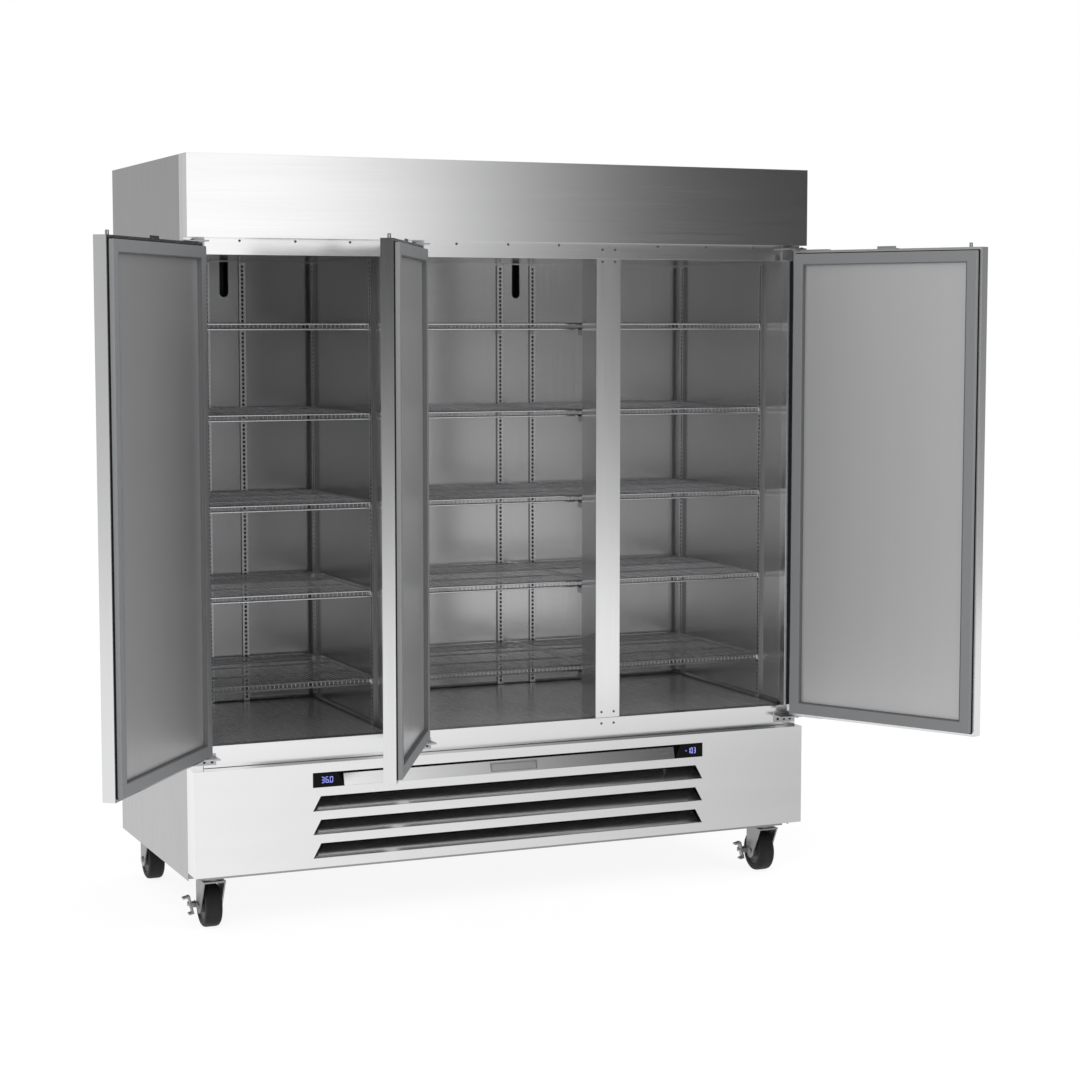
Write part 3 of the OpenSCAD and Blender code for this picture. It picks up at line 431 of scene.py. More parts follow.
class Wiring:
    """A node material under construction.

    GRIT is how strong the finer layers of its noise are, and RANGE the part of a noise that counts.
    """

    GRIT = 0.55
    RANGE = (0.3, 0.7)

    def __init__(self, name: str) -> None:
        """Start a material with its own principled shader.

        Args:
            name: Name of the material.
        """
        self.material = bpy.data.materials.new(name)
        self.material.use_nodes = True
        self.tree = self.material.node_tree
        self.shader = self.tree.nodes["Principled BSDF"]
        self.surface = self.tree.nodes["Material Output"].inputs["Surface"]

    def node(self, kind: str, **values: object) -> bpy.types.Node:
        """Add a node.

        Args:
            kind: Type of the node.
            values: Inputs by name with underscores for spaces, or attributes of the node.

        Returns:
            The node.
        """
        made = self.tree.nodes.new(kind)
        for key, value in values.items():
            label = key.replace("_", " ")
            if label in made.inputs:
                made.inputs[label].default_value = value
            else:
                setattr(made, key, value)
        return made

    def shade(self, **values: object) -> None:
        """Set the shader's inputs, named with underscores for spaces."""
        for key, value in values.items():
            self.shader.inputs[key.replace("_", " ")].default_value = value

    def link(self, source: bpy.types.NodeSocket, target: bpy.types.NodeSocket) -> None:
        """Join two sockets."""
        self.tree.links.new(source, target)

    def noise(self, scale: Triple, detail: float = 3.0) -> bpy.types.NodeSocket:
        """Noise from 0 to 1 on object coordinates.

        Args:
            scale: Pattern repeats per metre along x, y and z.
            detail: How many finer layers the noise has.

        Returns:
            The socket with the value.
        """
        where = self.node("ShaderNodeTexCoord")
        stretch = self.node("ShaderNodeMapping", Scale=scale)
        made = self.node("ShaderNodeTexNoise", Scale=1.0, Detail=detail, Roughness=self.GRIT)
        self.link(where.outputs["Object"], stretch.inputs["Vector"])
        self.link(stretch.outputs["Vector"], made.inputs["Vector"])
        return made.outputs["Fac"]

    def roughen(self, source: bpy.types.NodeSocket, low: float, high: float) -> None:
        """Let the roughness follow a pattern.

        Args:
            source: The pattern.
            low: Roughness where the pattern is low.
            high: Roughness where it is high.
        """
        start, end = self.RANGE
        made = self.node("ShaderNodeMapRange", From_Min=start, From_Max=end, To_Min=low, To_Max=high)
        self.link(source, made.inputs["Value"])
        self.link(made.outputs["Result"], self.shader.inputs["Roughness"])

    def tint(self, source: bpy.types.NodeSocket, dark: Colour, light: Colour) -> None:
        """Colour the surface between two colours.

        Args:
            source: The pattern that mixes them.
            dark: Colour where the pattern is low.
            light: Colour where it is high.
        """
        mix = self.node("ShaderNodeMix", data_type="RGBA")
        colour_a, colour_b = [s for s in mix.inputs if s.type == "RGBA"]
        colour_a.default_value = (*dark, 1.0)
        colour_b.default_value = (*light, 1.0)
        self.link(source, mix.inputs["Factor"])
        self.link([s for s in mix.outputs if s.type == "RGBA"][0], self.shader.inputs["Base Color"])

    def relief(self, source: bpy.types.NodeSocket, depth: float, strength: float) -> None:
        """Raise and lower the surface's shading by a pattern.

        Args:
            source: The pattern.
            depth: Height between its low and its high.
            strength: Share of that height that shows.
        """
        bump = self.node("ShaderNodeBump", Strength=strength, Distance=depth)
        self.link(source, bump.inputs["Height"])
        self.link(bump.outputs["Normal"], self.shader.inputs["Normal"])


def shaded(colour: Colour, factor: float) -> Colour:
    """The colour made lighter or darker by a factor."""
    return tuple(min(1.0, c * factor) for c in colour)


@dataclass(frozen=True)
class BrushedSteel:
    """Sheet steel with fine grinding lines along one axis and broad uneven bands across it."""

    name: str
    colour: Colour
    roughness: float
    grain: Axis
    contrast: float = 0.04
    lines: float = 900.0
    bands: float = 14.0
    relief: float = 0.04
    metallic: float = 1.0
    line_stretch: float = 300.0
    band_stretch: float = 12.0
    line_depth: float = 0.2 * MM
    unevenness: float = 0.18

    def material(self) -> bpy.types.Material:
        """Wire the finish.

        Returns:
            The material.
        """
        wiring = Wiring(self.name)
        fine = np.full(3, self.lines)
        fine[self.grain.value] = self.lines / self.line_stretch
        broad = np.full(3, self.bands)
        broad[self.grain.value] = self.bands / self.band_stretch
        lines = wiring.noise(tuple(fine), detail=2.0)
        bands = wiring.noise(tuple(broad), detail=4.0)
        wiring.tint(bands, shaded(self.colour, 1 - self.contrast), shaded(self.colour, 1 + self.contrast))
        wiring.roughen(lines, self.roughness * (1 - self.unevenness), self.roughness * (1 + self.unevenness))
        wiring.relief(lines, self.line_depth, self.relief)
        wiring.shade(Metallic=self.metallic)
        return wiring.material


@dataclass(frozen=True)
class Plain:
    """A moulded, rubbery or plated finish with a mottled colour and a fine pebbled surface."""

    name: str
    colour: Colour
    roughness: float
    metallic: float = 0.0
    mottle: float = 0.12
    pebble: float = 700.0
    relief: float = 0.12
    shine: float = 0.5
    clouds: float = 35.0
    pebble_depth: float = 0.15 * MM
    unevenness: float = 0.15

    def material(self) -> bpy.types.Material:
        """Wire the finish.

        Returns:
            The material.
        """
        wiring = Wiring(self.name)
        clouds = wiring.noise((self.clouds,) * 3, detail=4.0)
        grit = wiring.noise((self.pebble,) * 3, detail=2.0)
        wiring.tint(clouds, shaded(self.colour, 1 - self.mottle), shaded(self.colour, 1 + self.mottle))
        high = min(1.0, self.roughness * (1 + self.unevenness))
        wiring.roughen(clouds, self.roughness * (1 - self.unevenness), high)
        wiring.relief(grit, self.pebble_depth, self.relief)
        wiring.shade(Metallic=self.metallic, Specular_IOR_Level=self.shine)
        return wiring.material


@dataclass(frozen=True)
class Glow:
    """Lit segments of a display, a little uneven in brightness."""

    name: str
    colour: Colour
    strength: float
    grit: float = 400.0
    dimmest: float = 0.8
    roughness: float = 0.4

    def material(self) -> bpy.types.Material:
        """Wire the finish.

        Returns:
            The material.
        """
        wiring = Wiring(self.name)
        wiring.tint(wiring.noise((self.grit,) * 3), shaded(self.colour, self.dimmest), self.colour)
        wiring.shade(Emission_Color=(*self.colour, 1.0), Emission_Strength=self.strength)
        wiring.shade(Roughness=self.roughness)
        return wiring.material


class Finishes:
    """All the finishes of the refrigerator, each made once."""

    CATALOGUE = (
        # Darker copy of the stainless for the side, back and top skins and the floor lips: painted shade.
        BrushedSteel("skin_steel", (0.43, 0.43, 0.435), 0.30, Axis.Z),
        BrushedSteel("door_steel", (0.72, 0.72, 0.725), 0.18, Axis.Z),
        BrushedSteel("frame_steel", (0.80, 0.80, 0.805), 0.18, Axis.Z),
        BrushedSteel("rail_steel", (0.82, 0.82, 0.825), 0.18, Axis.X),
        BrushedSteel("panel_steel", (0.82, 0.82, 0.825), 0.15, Axis.X, metallic=0.98),
        BrushedSteel("liner_steel", (0.56, 0.56, 0.565), 0.22, Axis.Z, metallic=0.8),
        # Darker copy of the liner steel for the left compartment: painted shade.
        BrushedSteel("shaded_liner", (0.40, 0.40, 0.405), 0.22, Axis.Z, metallic=0.8),
        # Lighter copy of the liner steel for the liners' floors: painted light.
        BrushedSteel("floor_steel", (0.78, 0.78, 0.785), 0.24, Axis.Y, metallic=0.75),
        BrushedSteel("pilaster_steel", (0.60, 0.60, 0.605), 0.26, Axis.Z, metallic=0.8),
        # Dark copy of the pilaster steel for the bars' sides: painted shade.
        BrushedSteel("pilaster_edge", (0.25, 0.25, 0.255), 0.3, Axis.Z, metallic=0.8),
        BrushedSteel("pan_steel", (0.63, 0.63, 0.635), 0.34, Axis.Z, contrast=0.02, metallic=0.65),
        BrushedSteel("fitting_steel", (0.60, 0.60, 0.61), 0.24, Axis.X, lines=1500.0),
        # Darker copy of the fitting steel for the hinge brackets: painted shade.
        BrushedSteel("bracket_steel", (0.50, 0.50, 0.51), 0.34, Axis.X, lines=1500.0),
        BrushedSteel("shelf_wire", (0.70, 0.70, 0.71), 0.26, Axis.Y, lines=1200.0),
        BrushedSteel("fin_aluminium", (0.55, 0.56, 0.57), 0.45, Axis.Z),
        Plain("zinc_plate", (0.36, 0.36, 0.37), 0.42, metallic=0.9),
        Plain("gasket_vinyl", (0.235, 0.24, 0.245), 0.6, mottle=0.04),
        Plain("dark_vinyl", (0.13, 0.13, 0.134), 0.6, mottle=0.05),
        Plain("black_vinyl", (0.012, 0.012, 0.013), 0.6, shine=0.2),
        Plain("slot_shadow", (0.02, 0.02, 0.021), 0.7, shine=0.2),
        Plain("duct_shadow", (0.06, 0.06, 0.062), 0.7, shine=0.2),
        Plain("dark_screw", (0.12, 0.12, 0.123), 0.4, metallic=0.7),
        Plain("tyre_rubber", (0.012, 0.012, 0.013), 0.62, shine=0.3),
        Plain("hub_plastic", (0.05, 0.05, 0.052), 0.45),
        Plain("filter_mesh", (0.02, 0.02, 0.022), 0.8, pebble=300.0, relief=0.6, shine=0.2),
        Plain("black_enamel", (0.015, 0.015, 0.016), 0.28),
        Plain("display_glass", (0.004, 0.004, 0.005), 0.35, relief=0.01, shine=0.1),
        Plain("rigid_foam", (0.75, 0.62, 0.35), 0.9, relief=0.5),
        Plain("fan_plastic", (0.03, 0.03, 0.032), 0.5),
        Glow("digit_light", (0.30, 0.33, 0.95), 0.9),
    )

    def __init__(self) -> None:
        """Make every material of the catalogue."""
        self._made = {finish.name: finish.material() for finish in self.CATALOGUE}

    def dress(self, piece: bpy.types.Object, finish: str | tuple[str, ...], slot: str | None = None) -> None:
        """Give a piece its finish, or several that its faces choose from by number.

        Args:
            piece: The object to dress.
            finish: Name or names of the finishes.
            slot: Not used.
        """
        names = (finish,) if isinstance(finish, str) else finish
        mesh = piece.data
        kinds = np.zeros(len(mesh.polygons), np.int32)
        mesh.polygons.foreach_get("material_index", kinds)
        mesh.materials.clear()
        for name in names:
            mesh.materials.append(self._made[name])
        mesh.polygons.foreach_set("material_index", np.minimum(kinds, len(names) - 1))


# Sub-assemblies


@dataclass
class Assembly:
    """A group of pieces that are dressed from the shared finishes."""

    finishes: Finishes

    def keep(self, node: str, finish: str) -> None:
        """Dress a node as it is."""
        self.finishes.dress(frame["nodes"][node], finish)

    def soften(self, node: str, width: float, finish: str, slot: str, segments: int = 2) -> None:
        """Put a dressed copy with rounded edges in a node's place.

        Args:
            node: The node to copy.
            width: Width of the rounding.
            finish: Name of the finish.
            slot: Material slot of the record.
            segments: Faces across the rounding.
        """
        self.finishes.dress(softened(node, width, segments), finish, slot)

    def put(self, name: str, shape: Shape, finish: str | tuple[str, ...], slot: str, body: str = "cabinet",
            stands_for: str | None = None, smooth: float = SMOOTH_ANGLE) -> None:
        """Build a new piece and dress it.

        Args:
            name: Name of the piece.
            shape: Its surfaces.
            finish: Name or names of the finishes.
            slot: Material slot of the record.
            body: Body that it moves with.
            stands_for: Node that it replaces, if any.
            smooth: Angle in degrees below which an edge is shaded smooth.
        """
        piece = shape.build(name, body, smooth)
        if stands_for:
            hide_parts(stands_for)
        self.finishes.dress(piece, finish, slot)


@dataclass
class Cabinet(Assembly):
    """The outer shell, the frame and the lined compartments."""

    fold: float = 1.2 * MM
    liner_fold: float = 0.5 * MM
    screw_fold: float = 0.7 * MM
    rail_share: float = 0.45
    floor_depth: float = 3 * MM
    liner_sheet: float = 1 * MM
    lip_height: float = 13 * MM
    lip_width: float = 11 * MM
    lip_sheet: float = 0.4 * MM
    lip_gap: float = 0.2 * MM
    lip_foot: float = 0.1 * MM
    lip_front: float = 2 * MM
    lip_arc: int = 7
    slot_radius: float = 13.5 * MM
    slot_foot: float = 97.5 * MM
    slot_top: float = 5 * MM
    slot_places: tuple[float, float] = (-592.0 * MM, 370.0 * MM)
    duct_depth: float = 46 * MM
    duct_sheet: float = 0.4 * MM
    duct_room: float = 0.1 * MM
    duct_arc: int = 16
    screw_inset: float = 12 * MM
    screws_across: int = 9
    screws_along: int = 10
    screw_radius: float = 4.5 * MM
    screw_height: float = 1.8 * MM

    # Outline of a black strip by a hinge: away from the hinge axis, and out from the frame.
    STRIP = np.array([(-3.5, -0.1), (-3.5, 0.5), (-3.0, 0.8), (15.0, 0.8), (15.5, 0.5), (15.5, -0.1)]) * MM

    def dress(self) -> None:
        """Round the folded edges and give each sheet its grain."""
        # The skins take the darker copy of the stainless: painted shade.
        for node in ("side_skins", "back_skin", "top_skin"):
            self.soften(node, self.fold, "skin_steel", "brushed_stainless")
        self.soften("mullions", self.fold, "frame_steel", "brushed_stainless")
        face = softened("face_frame", self.fold)
        self.number_rails(face)
        self.finishes.dress(face, ("frame_steel", "rail_steel"), "brushed_stainless")
        self.soften("header_panel", self.fold, "panel_steel", "brushed_stainless")
        # The left liner takes the darker liner copy, painted shade, and each floor the lighter copy, painted
        # light.
        for node, finish in (("liner_left", "shaded_liner"), ("liner_right", "liner_steel")):
            liner = softened(node, self.liner_fold)
            self.number_floor(liner)
            self.finishes.dress(liner, (finish, "floor_steel"), "liner_stainless")
        self.keep("wall_insulation", "rigid_foam")
        self.soften("frame_screws", self.screw_fold, "dark_screw", "hardware_steel", 3)
        self.soften("base_frame", self.fold, "zinc_plate", "zinc_steel")

    @staticmethod
    def face_centres(mesh: bpy.types.Mesh) -> Points:
        """Centres of a mesh's faces.

        Args:
            mesh: The mesh.

        Returns:
            One point for each face.
        """
        centres = np.empty(len(mesh.polygons) * 3, np.float32)
        mesh.polygons.foreach_get("center", centres)
        return centres.reshape(-1, 3)

    def number_rails(self, face: bpy.types.Object) -> None:
        """Give the faces of the sill and the top rail the second finish, whose grain runs crosswise.

        Args:
            face: The face frame's copy.
        """
        low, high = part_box("face_frame")
        away = np.abs(self.face_centres(face.data)[:, 0] - (low.x + high.x) / 2)
        rails = away < self.rail_share * (high.x - low.x)
        face.data.polygons.foreach_set("material_index", rails.astype(np.int32))

    def number_floor(self, liner: bpy.types.Object) -> None:
        """Give a liner's floor the second finish, painted brighter than the walls: painted light.

        Args:
            liner: The liner's copy.
        """
        height = self.face_centres(liner.data)[:, 2]
        floor = height < height.min() + self.floor_depth
        liner.data.polygons.foreach_set("material_index", floor.astype(np.int32))

    def build(self) -> None:
        """Add the coved floor lips, the painted-shadow duct linings, the black hinge strips and the back's
        screws.
        """
        for node, x in zip(("liner_left", "liner_right"), self.slot_places):
            self.floor_lip(node)
            self.duct(node, x)
        for joint in frame["joints"]:
            if joint["name"].startswith("door_"):
                self.seal_strip(joint)
        self.back_screws()

    def floor_lip(self, node: str) -> None:
        """Carry a coved lip along the foot of three walls.

        The profile is a quarter round from the wall to the floor. At each corner of the path its points
        move inwards along the mitre, so the lip turns without a gap.

        Args:
            node: The liner that the lip belongs to.
        """
        low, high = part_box(node)
        x0, x1 = low.x + self.liner_sheet, high.x - self.liner_sheet
        y0, y1 = low.y + self.lip_front, high.y - self.liner_sheet
        path = np.array([(x0, y0), (x0, y1), (x1, y1), (x1, y0)])
        inward = np.array([(1, 0), (1, -1), (-1, -1), (-1, 0)])
        a = np.linspace(0, pi / 2, self.lip_arc)
        cove = np.stack([self.lip_width * (1 - np.sin(a)), self.lip_height * (1 - np.cos(a))], axis=-1)
        profile = np.vstack([[self.lip_gap, self.lip_height], cove[::-1] + self.lip_sheet,
                             [self.lip_width, self.lip_foot], [self.lip_gap, self.lip_foot]])
        flat = path[:, None] + inward[:, None] * profile[None, :, :1]
        height = low.z + self.liner_sheet + profile[None, :, 1:]
        points = np.concatenate([flat, np.broadcast_to(height, (len(path), len(profile), 1))], axis=-1)
        shape = Shape().add(points, grid_quads(*points.shape[:2], wrap_cols=True))
        # The lip takes the darker skin steel: painted shade along the foot of the walls.
        self.put(node + "_lip", shape, "skin_steel", "liner_stainless")

    def duct(self, node: str, x: float) -> None:
        """Line an air duct in painted shadow: the slot's outline, straight sides over a half circle, carried
        into the wall.

        Args:
            node: The liner that the duct opens from.
            x: Middle of the slot.
        """
        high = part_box(node)[1]
        sheet = self.duct_sheet
        r = self.slot_radius - np.array([self.duct_room, self.duct_room, sheet, sheet])[:, None]
        front, back = high.y + sheet, high.y + self.duct_depth
        y = np.array([back, front, front, back - sheet])[:, None]
        a = np.linspace(pi, 2 * pi, self.duct_arc)
        side = np.concatenate([np.cos(a), [1.0, -1.0]])
        depth = np.concatenate([np.sin(a), [0.0, 0.0]])
        z = np.full(len(side), high.z - self.slot_foot)
        z[self.duct_arc:] = high.z - self.slot_top
        points = np.stack([x + r * side, y + 0 * side, z + r * depth], axis=-1)
        quads = tube_quads(*points.shape[:2])
        bottom = len(ring_cap(0, len(side)))
        # Black walls and a dark grey back: painted shadow inside the duct.
        shape = Shape().add(points, quads, np.arange(len(quads)) >= len(quads) - bottom)
        self.put(node + "_duct", shape, ("slot_shadow", "duct_shadow"), "display_black")

    def seal_strip(self, joint: dict) -> None:
        """Lay a black strip on the frame beside a hinge: a low outline carried from the sill to the top rail.

        Args:
            joint: The door's hinge.
        """
        hand = float(np.sign(joint["axis"][2]))
        low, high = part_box("mullions")
        across, lift = self.STRIP.T
        z = np.array([low.z, high.z])[:, None]
        rings = np.stack(np.broadcast_arrays(joint["pos_m"][0] + hand * across, low.y - lift, z), axis=-1)
        self.put(joint["name"] + "_strip", Shape().tube(rings), "black_vinyl", "gasket_grey")

    def back_screws(self) -> None:
        """Set round screw heads along the edges of the back."""
        low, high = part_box("back_skin")
        xs = np.linspace(low.x + self.screw_inset, high.x - self.screw_inset, self.screws_across)
        zs = np.linspace(low.z + self.screw_inset, high.z - self.screw_inset, self.screws_along)
        across = np.array([(x, high.y, z) for z in (zs[0], zs[-1]) for x in xs])
        along = np.array([(x, high.y, z) for x in (xs[0], xs[-1]) for z in zs[1:-1]])
        heads = studs(np.vstack([across, along]), Axis.Y, 1.0, self.screw_radius, self.screw_height)
        self.put("back_screws", Shape().add(*heads), "fitting_steel", "hardware_steel")


@dataclass
class LowerPanel(Assembly):
    """The louvred panel with its displays, bare plate and air filter."""

    fold: float = 0.6 * MM
    plate_fold: float = 0.5 * MM
    display_fold: float = 1.0 * MM
    display_width: float = 83 * MM
    digit_height: float = 16 * MM
    reading_width: float = 38 * MM
    digit_share: float = 0.58
    segment: float = 1.6 * MM
    segment_gap: float = 0.6 * MM
    segment_front: float = -0.3 * MM
    segment_back: float = 0.2 * MM
    point_share: float = 1.2
    readings: tuple[str, str] = ("36.0", "-10.3")
    border_corner: float = 1.5 * MM
    pleat: float = 9 * MM
    pleat_depth: float = 2.5 * MM
    pleat_steps: int = 6
    filter_ends: float = 300 * MM
    filter_margin: float = 6 * MM
    filter_inset: float = 5 * MM
    filter_sheet: float = 0.6 * MM

    # Outline of the plate's border: in from the plate's edge, and into its face.
    BORDER = np.array([(2.0, 0.2), (2.0, -0.25), (3.2, -0.25), (3.2, 0.2)]) * MM

    SEGMENTS = {"0": "abcdef", "1": "bc", "2": "abged", "3": "abgcd", "4": "fgbc", "5": "afgcd",
                "6": "afgedc", "7": "abc", "8": "abcdefg", "9": "abcdfg", "-": "g"}

    def dress(self) -> None:
        """Finish the panel, plate and displays."""
        self.soften("lower_panel", self.fold, "panel_steel", "brushed_stainless")
        self.soften("name_plate", self.plate_fold, "fitting_steel", "hardware_steel", 3)
        self.soften("displays", self.display_fold, "display_glass", "display_black", 3)

    def build(self) -> None:
        """Add the lit readings, the plate's border and the pleated filter behind the louvres."""
        low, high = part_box("displays")
        centres = (low.x + self.display_width / 2, high.x - self.display_width / 2)
        for name, reading, x in zip(("left", "right"), self.readings, centres):
            shape = self.reading(reading, np.array([x, low.y, (low.z + high.z) / 2]))
            self.put("reading_" + name, shape, "digit_light", "display_black")
        self.border()
        self.filter()

    def border(self) -> None:
        """Carry a thin raised outline round the bare plate, a little way in from its edge."""
        low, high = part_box("name_plate")
        half = ((high.x - low.x) / 2, (high.z - low.z) / 2)
        inset, depth = self.BORDER.T
        rings = rectangle_rings(half, inset, low.y + depth, np.full(len(inset), self.border_corner))
        points = rings + [(low.x + high.x) / 2, 0, (low.z + high.z) / 2]
        self.put("plate_border", Shape().band(points), "dark_vinyl", "hardware_steel")

    def reading(self, text: str, centre: Points) -> Shape:
        """Seven-segment figures standing on a display's face.

        Args:
            text: Figures, a minus sign and a point.
            centre: Middle of the reading on the display's face.

        Returns:
            The bars of all the figures.
        """
        figures = [c for c in text if c != "."]
        pitch = self.reading_width / len(figures)
        start = -pitch * (len(figures) - 1) / 2
        w, h = self.digit_share * pitch / 2, self.digit_height / 2
        bars = {"a": (0, h, 0), "g": (0, 0, 0), "d": (0, -h, 0), "f": (-w, h / 2, 1), "b": (w, h / 2, 1),
                "e": (-w, -h / 2, 1), "c": (w, -h / 2, 1)}
        shape = Shape()
        for k, figure in enumerate(figures):
            for key in self.SEGMENTS[figure]:
                x, z, upright = bars[key]
                length = (h if upright else 2 * w) - self.segment_gap
                self.bar(shape, centre + np.array([start + k * pitch + x, 0, z]), length, bool(upright))
        point = text.find(".")
        if point >= 0:
            x = start + (point - 0.5) * pitch
            self.bar(shape, centre + np.array([x, 0, -h]), self.point_share * self.segment, False)
        return shape

    def bar(self, shape: Shape, centre: Points, length: float, upright: bool) -> None:
        """Add one pointed bar: a hexagon of the given length, carried a little way out of the face.

        Args:
            shape: Where the bar goes.
            centre: Its middle.
            length: From point to point.
            upright: Whether it stands up.
        """
        half, t = length / 2, self.segment / 2
        u = np.array([half, half - t, t - half, -half, t - half, half - t])
        v = np.array([0, t, t, 0, -t, -t])
        x, z = (v, u) if upright else (u, v)
        y = np.array([[self.segment_front], [self.segment_back]])
        shape.tube(np.stack(np.broadcast_arrays(x, y, z), axis=-1) + centre)

    def filter(self) -> None:
        """Add the pleated filter: depth follows a sine wave across the panel."""
        low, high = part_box("lower_panel")
        x = np.arange(low.x + self.filter_ends, high.x - self.filter_ends, self.pleat / self.pleat_steps)
        y = high.y - self.filter_inset + self.pleat_depth * np.sin(2 * pi * x / self.pleat)
        z = np.array([low.z + self.filter_margin, high.z - self.filter_margin])[:, None]
        there_and_back = np.concatenate([x, x[::-1]])
        depth = np.concatenate([y, y[::-1] + self.filter_sheet])
        rings = np.stack(np.broadcast_arrays(there_and_back, depth, z), axis=-1)
        self.put("air_filter", Shape().tube(rings), "filter_mesh", "display_black")


@dataclass
class Storage(Assembly):
    """The wire shelves with their slotted pilasters and clips."""

    levels: int = 5
    rod: float = 3.0 * MM
    inner_rods: int = 2
    inner_rod: float = 2.4 * MM
    inner_drop: float = 1.2 * MM
    wire: float = 1.5 * MM
    wire_pitch: float = 12.7 * MM
    wire_sides: int = 6
    tie: float = 1.8 * MM
    bend: float = 4 * MM
    bend_points: int = 4
    drop: float = 15 * MM
    slot_pitch: float = 12.7 * MM
    slot_height: float = 8 * MM
    slot_width: float = 7 * MM
    slot_depth: float = 6 * MM
    clip_fold: float = 1.0 * MM
    pilaster_angle: float = 20.0

    def build(self) -> None:
        """Make the shelves and pilasters and dress the clips."""
        for node in ("shelves_left", "shelves_middle", "shelves_right"):
            self.put(node + "_wire", self.shelves(node), "shelf_wire", "shelf_wire", stands_for=node)
        shape = Shape()
        for low, high in solids(frame["nodes"]["pilasters"]):
            self.pilaster(shape, low, high)
        # The bars' sides take painted shade, and the slots' walls and floors painted shadow.
        self.put("pilasters_slotted", shape, ("pilaster_steel", "pilaster_edge", "slot_shadow"),
                 "liner_stainless", stands_for="pilasters", smooth=self.pilaster_angle)
        self.soften("shelf_clips", self.clip_fold, "fitting_steel", "hardware_steel")

    def shelves(self, node: str) -> Shape:
        """All the shelves of one section: round rods along straight paths, and bent wires.

        A wire runs from the back rod to just behind the front rods, turns down through a quarter circle
        and ends at the lower rod.

        Args:
            node: The plain shelves that these stand for.

        Returns:
            The rods, wires and ties.
        """
        low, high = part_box(node)
        r = self.rod
        top = np.linspace(low.z + self.drop + r, high.z - r, self.levels)
        x0, x1, y0, y1 = low.x + r, high.x - r, low.y + r, high.y - r
        xs, ys = np.array([x0, x1]), np.array([y0, y1])
        inner = np.linspace(y0, y1, self.inner_rods + 2)[1:-1]
        edge = self.straight(top, xs, ys, Axis.X)
        shape = Shape().add(*wire_surface(edge, r, (0, 1, 0)))
        shape.add(*wire_surface(edge - [0, 0, self.drop], r, (0, 1, 0)))
        cross = self.straight(top - self.inner_drop, xs, inner, Axis.X)
        shape.add(*wire_surface(cross, self.inner_rod, (0, 1, 0)))
        shape.add(*wire_surface(self.straight(top, ys, xs, Axis.Y), r, (1, 0, 0)))
        count = int((x1 - x0) / self.wire_pitch)
        wires = (x0 + x1) / 2 + (np.arange(count) - (count - 1) / 2) * self.wire_pitch
        a = np.linspace(0, pi / 2, self.bend_points)
        turn = y0 + r + self.wire
        y = np.concatenate([[y1 + r / 2], turn + self.bend * (1 - np.sin(a)), [turn]])
        fall = np.concatenate([[0.0], self.bend * (1 - np.cos(a)), [self.drop + r]])
        level = (top + r - self.wire)[:, None, None]
        paths = np.stack(np.broadcast_arrays(wires[None, :, None], y, level - fall), axis=-1)
        shape.add(*wire_surface(paths.reshape(-1, len(y), 3), self.wire, (1, 0, 0), self.wire_sides))
        return shape.add(*self.ties(top, xs, ys))

    @staticmethod
    def straight(levels: Points, ends: Points, places: Points, axis: Axis) -> Points:
        """Straight paths along x or y at every level and place.

        Args:
            levels: Heights.
            ends: Start and end along the axis.
            places: Places across it.
            axis: Axis of the paths.

        Returns:
            Array of paths, points and coordinates.
        """
        z, p, s = np.meshgrid(levels, places, ends, indexing="ij")
        order = (s, p, z) if axis is Axis.X else (p, s, z)
        return np.stack(order, axis=-1).reshape(-1, 2, 3)

    def ties(self, levels: Points, xs: Points, ys: Points) -> tuple[Points, Quads]:
        """Short upright bars between the upper and lower edge rods.

        Args:
            levels: Heights of the upper rods.
            xs: Places across the shelf.
            ys: The front and back edge.

        Returns:
            The points and the quads.
        """
        z, x, y, s = np.meshgrid(levels, xs, ys, [0.0, -self.drop], indexing="ij")
        paths = np.stack([x, y, z + s], axis=-1).reshape(-1, 2, 3)
        return wire_surface(paths, self.tie, (1, 0, 0))

    def pilaster(self, shape: Shape, low: Points, high: Points) -> None:
        """One slotted bar: two grids, front and back, joined round their edges and through each slot.

        A grid has three columns, the middle one as wide as a slot, and its rows are in turn solid and
        slotted. The quad of a slotted cell is left out of the front and replaced by four walls and a floor.

        Args:
            shape: Where the bar goes.
            low: Lowest corner of the plain bar.
            high: Its highest corner.
        """
        thin = int(np.argmin((high - low)[:2]))
        wide = 1 - thin
        left_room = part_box("liner_left")[1].x
        room = middle("liner_left" if low[0] < left_room else "liner_right")[thin]
        front, back = sorted((low[thin], high[thin]), key=lambda place: abs(place - room))
        count = int((high[2] - low[2]) / self.slot_pitch)
        mids = (low[2] + high[2]) / 2 + (np.arange(count) - (count - 1) / 2) * self.slot_pitch
        edges = (mids[:, None] + np.array([-0.5, 0.5]) * self.slot_height).ravel()
        rows = np.concatenate([[low[2]], edges, [high[2]]])
        mid = (low[wide] + high[wide]) / 2
        cols = np.array([low[wide], mid - self.slot_width / 2, mid + self.slot_width / 2, high[wide]])
        z, u = np.meshgrid(rows, cols, indexing="ij")
        layers = []
        for depth in (front, back):
            flat = [None, None, z]
            flat[thin] = np.full_like(z, depth)
            flat[wide] = u
            layers.append(np.stack(flat, axis=-1).reshape(-1, 3))
        n = len(rows) * 4
        cells = grid_quads(len(rows), 4)
        number = np.arange(len(cells))
        slotted = ((number // 3) % 2 == 1) & (number % 3 == 1)
        holes = cells[slotted]
        floor = layers[0][holes.ravel()]
        floor[:, thin] += self.slot_depth * np.sign(back - front)
        layers.append(floor)
        floors = 2 * n + np.arange(holes.size).reshape(-1, 4)
        nexts, after_floors = np.roll(holes, -1, axis=1), np.roll(floors, -1, axis=1)
        walls = np.stack([holes, nexts, after_floors, floors], axis=-1).reshape(-1, 4)
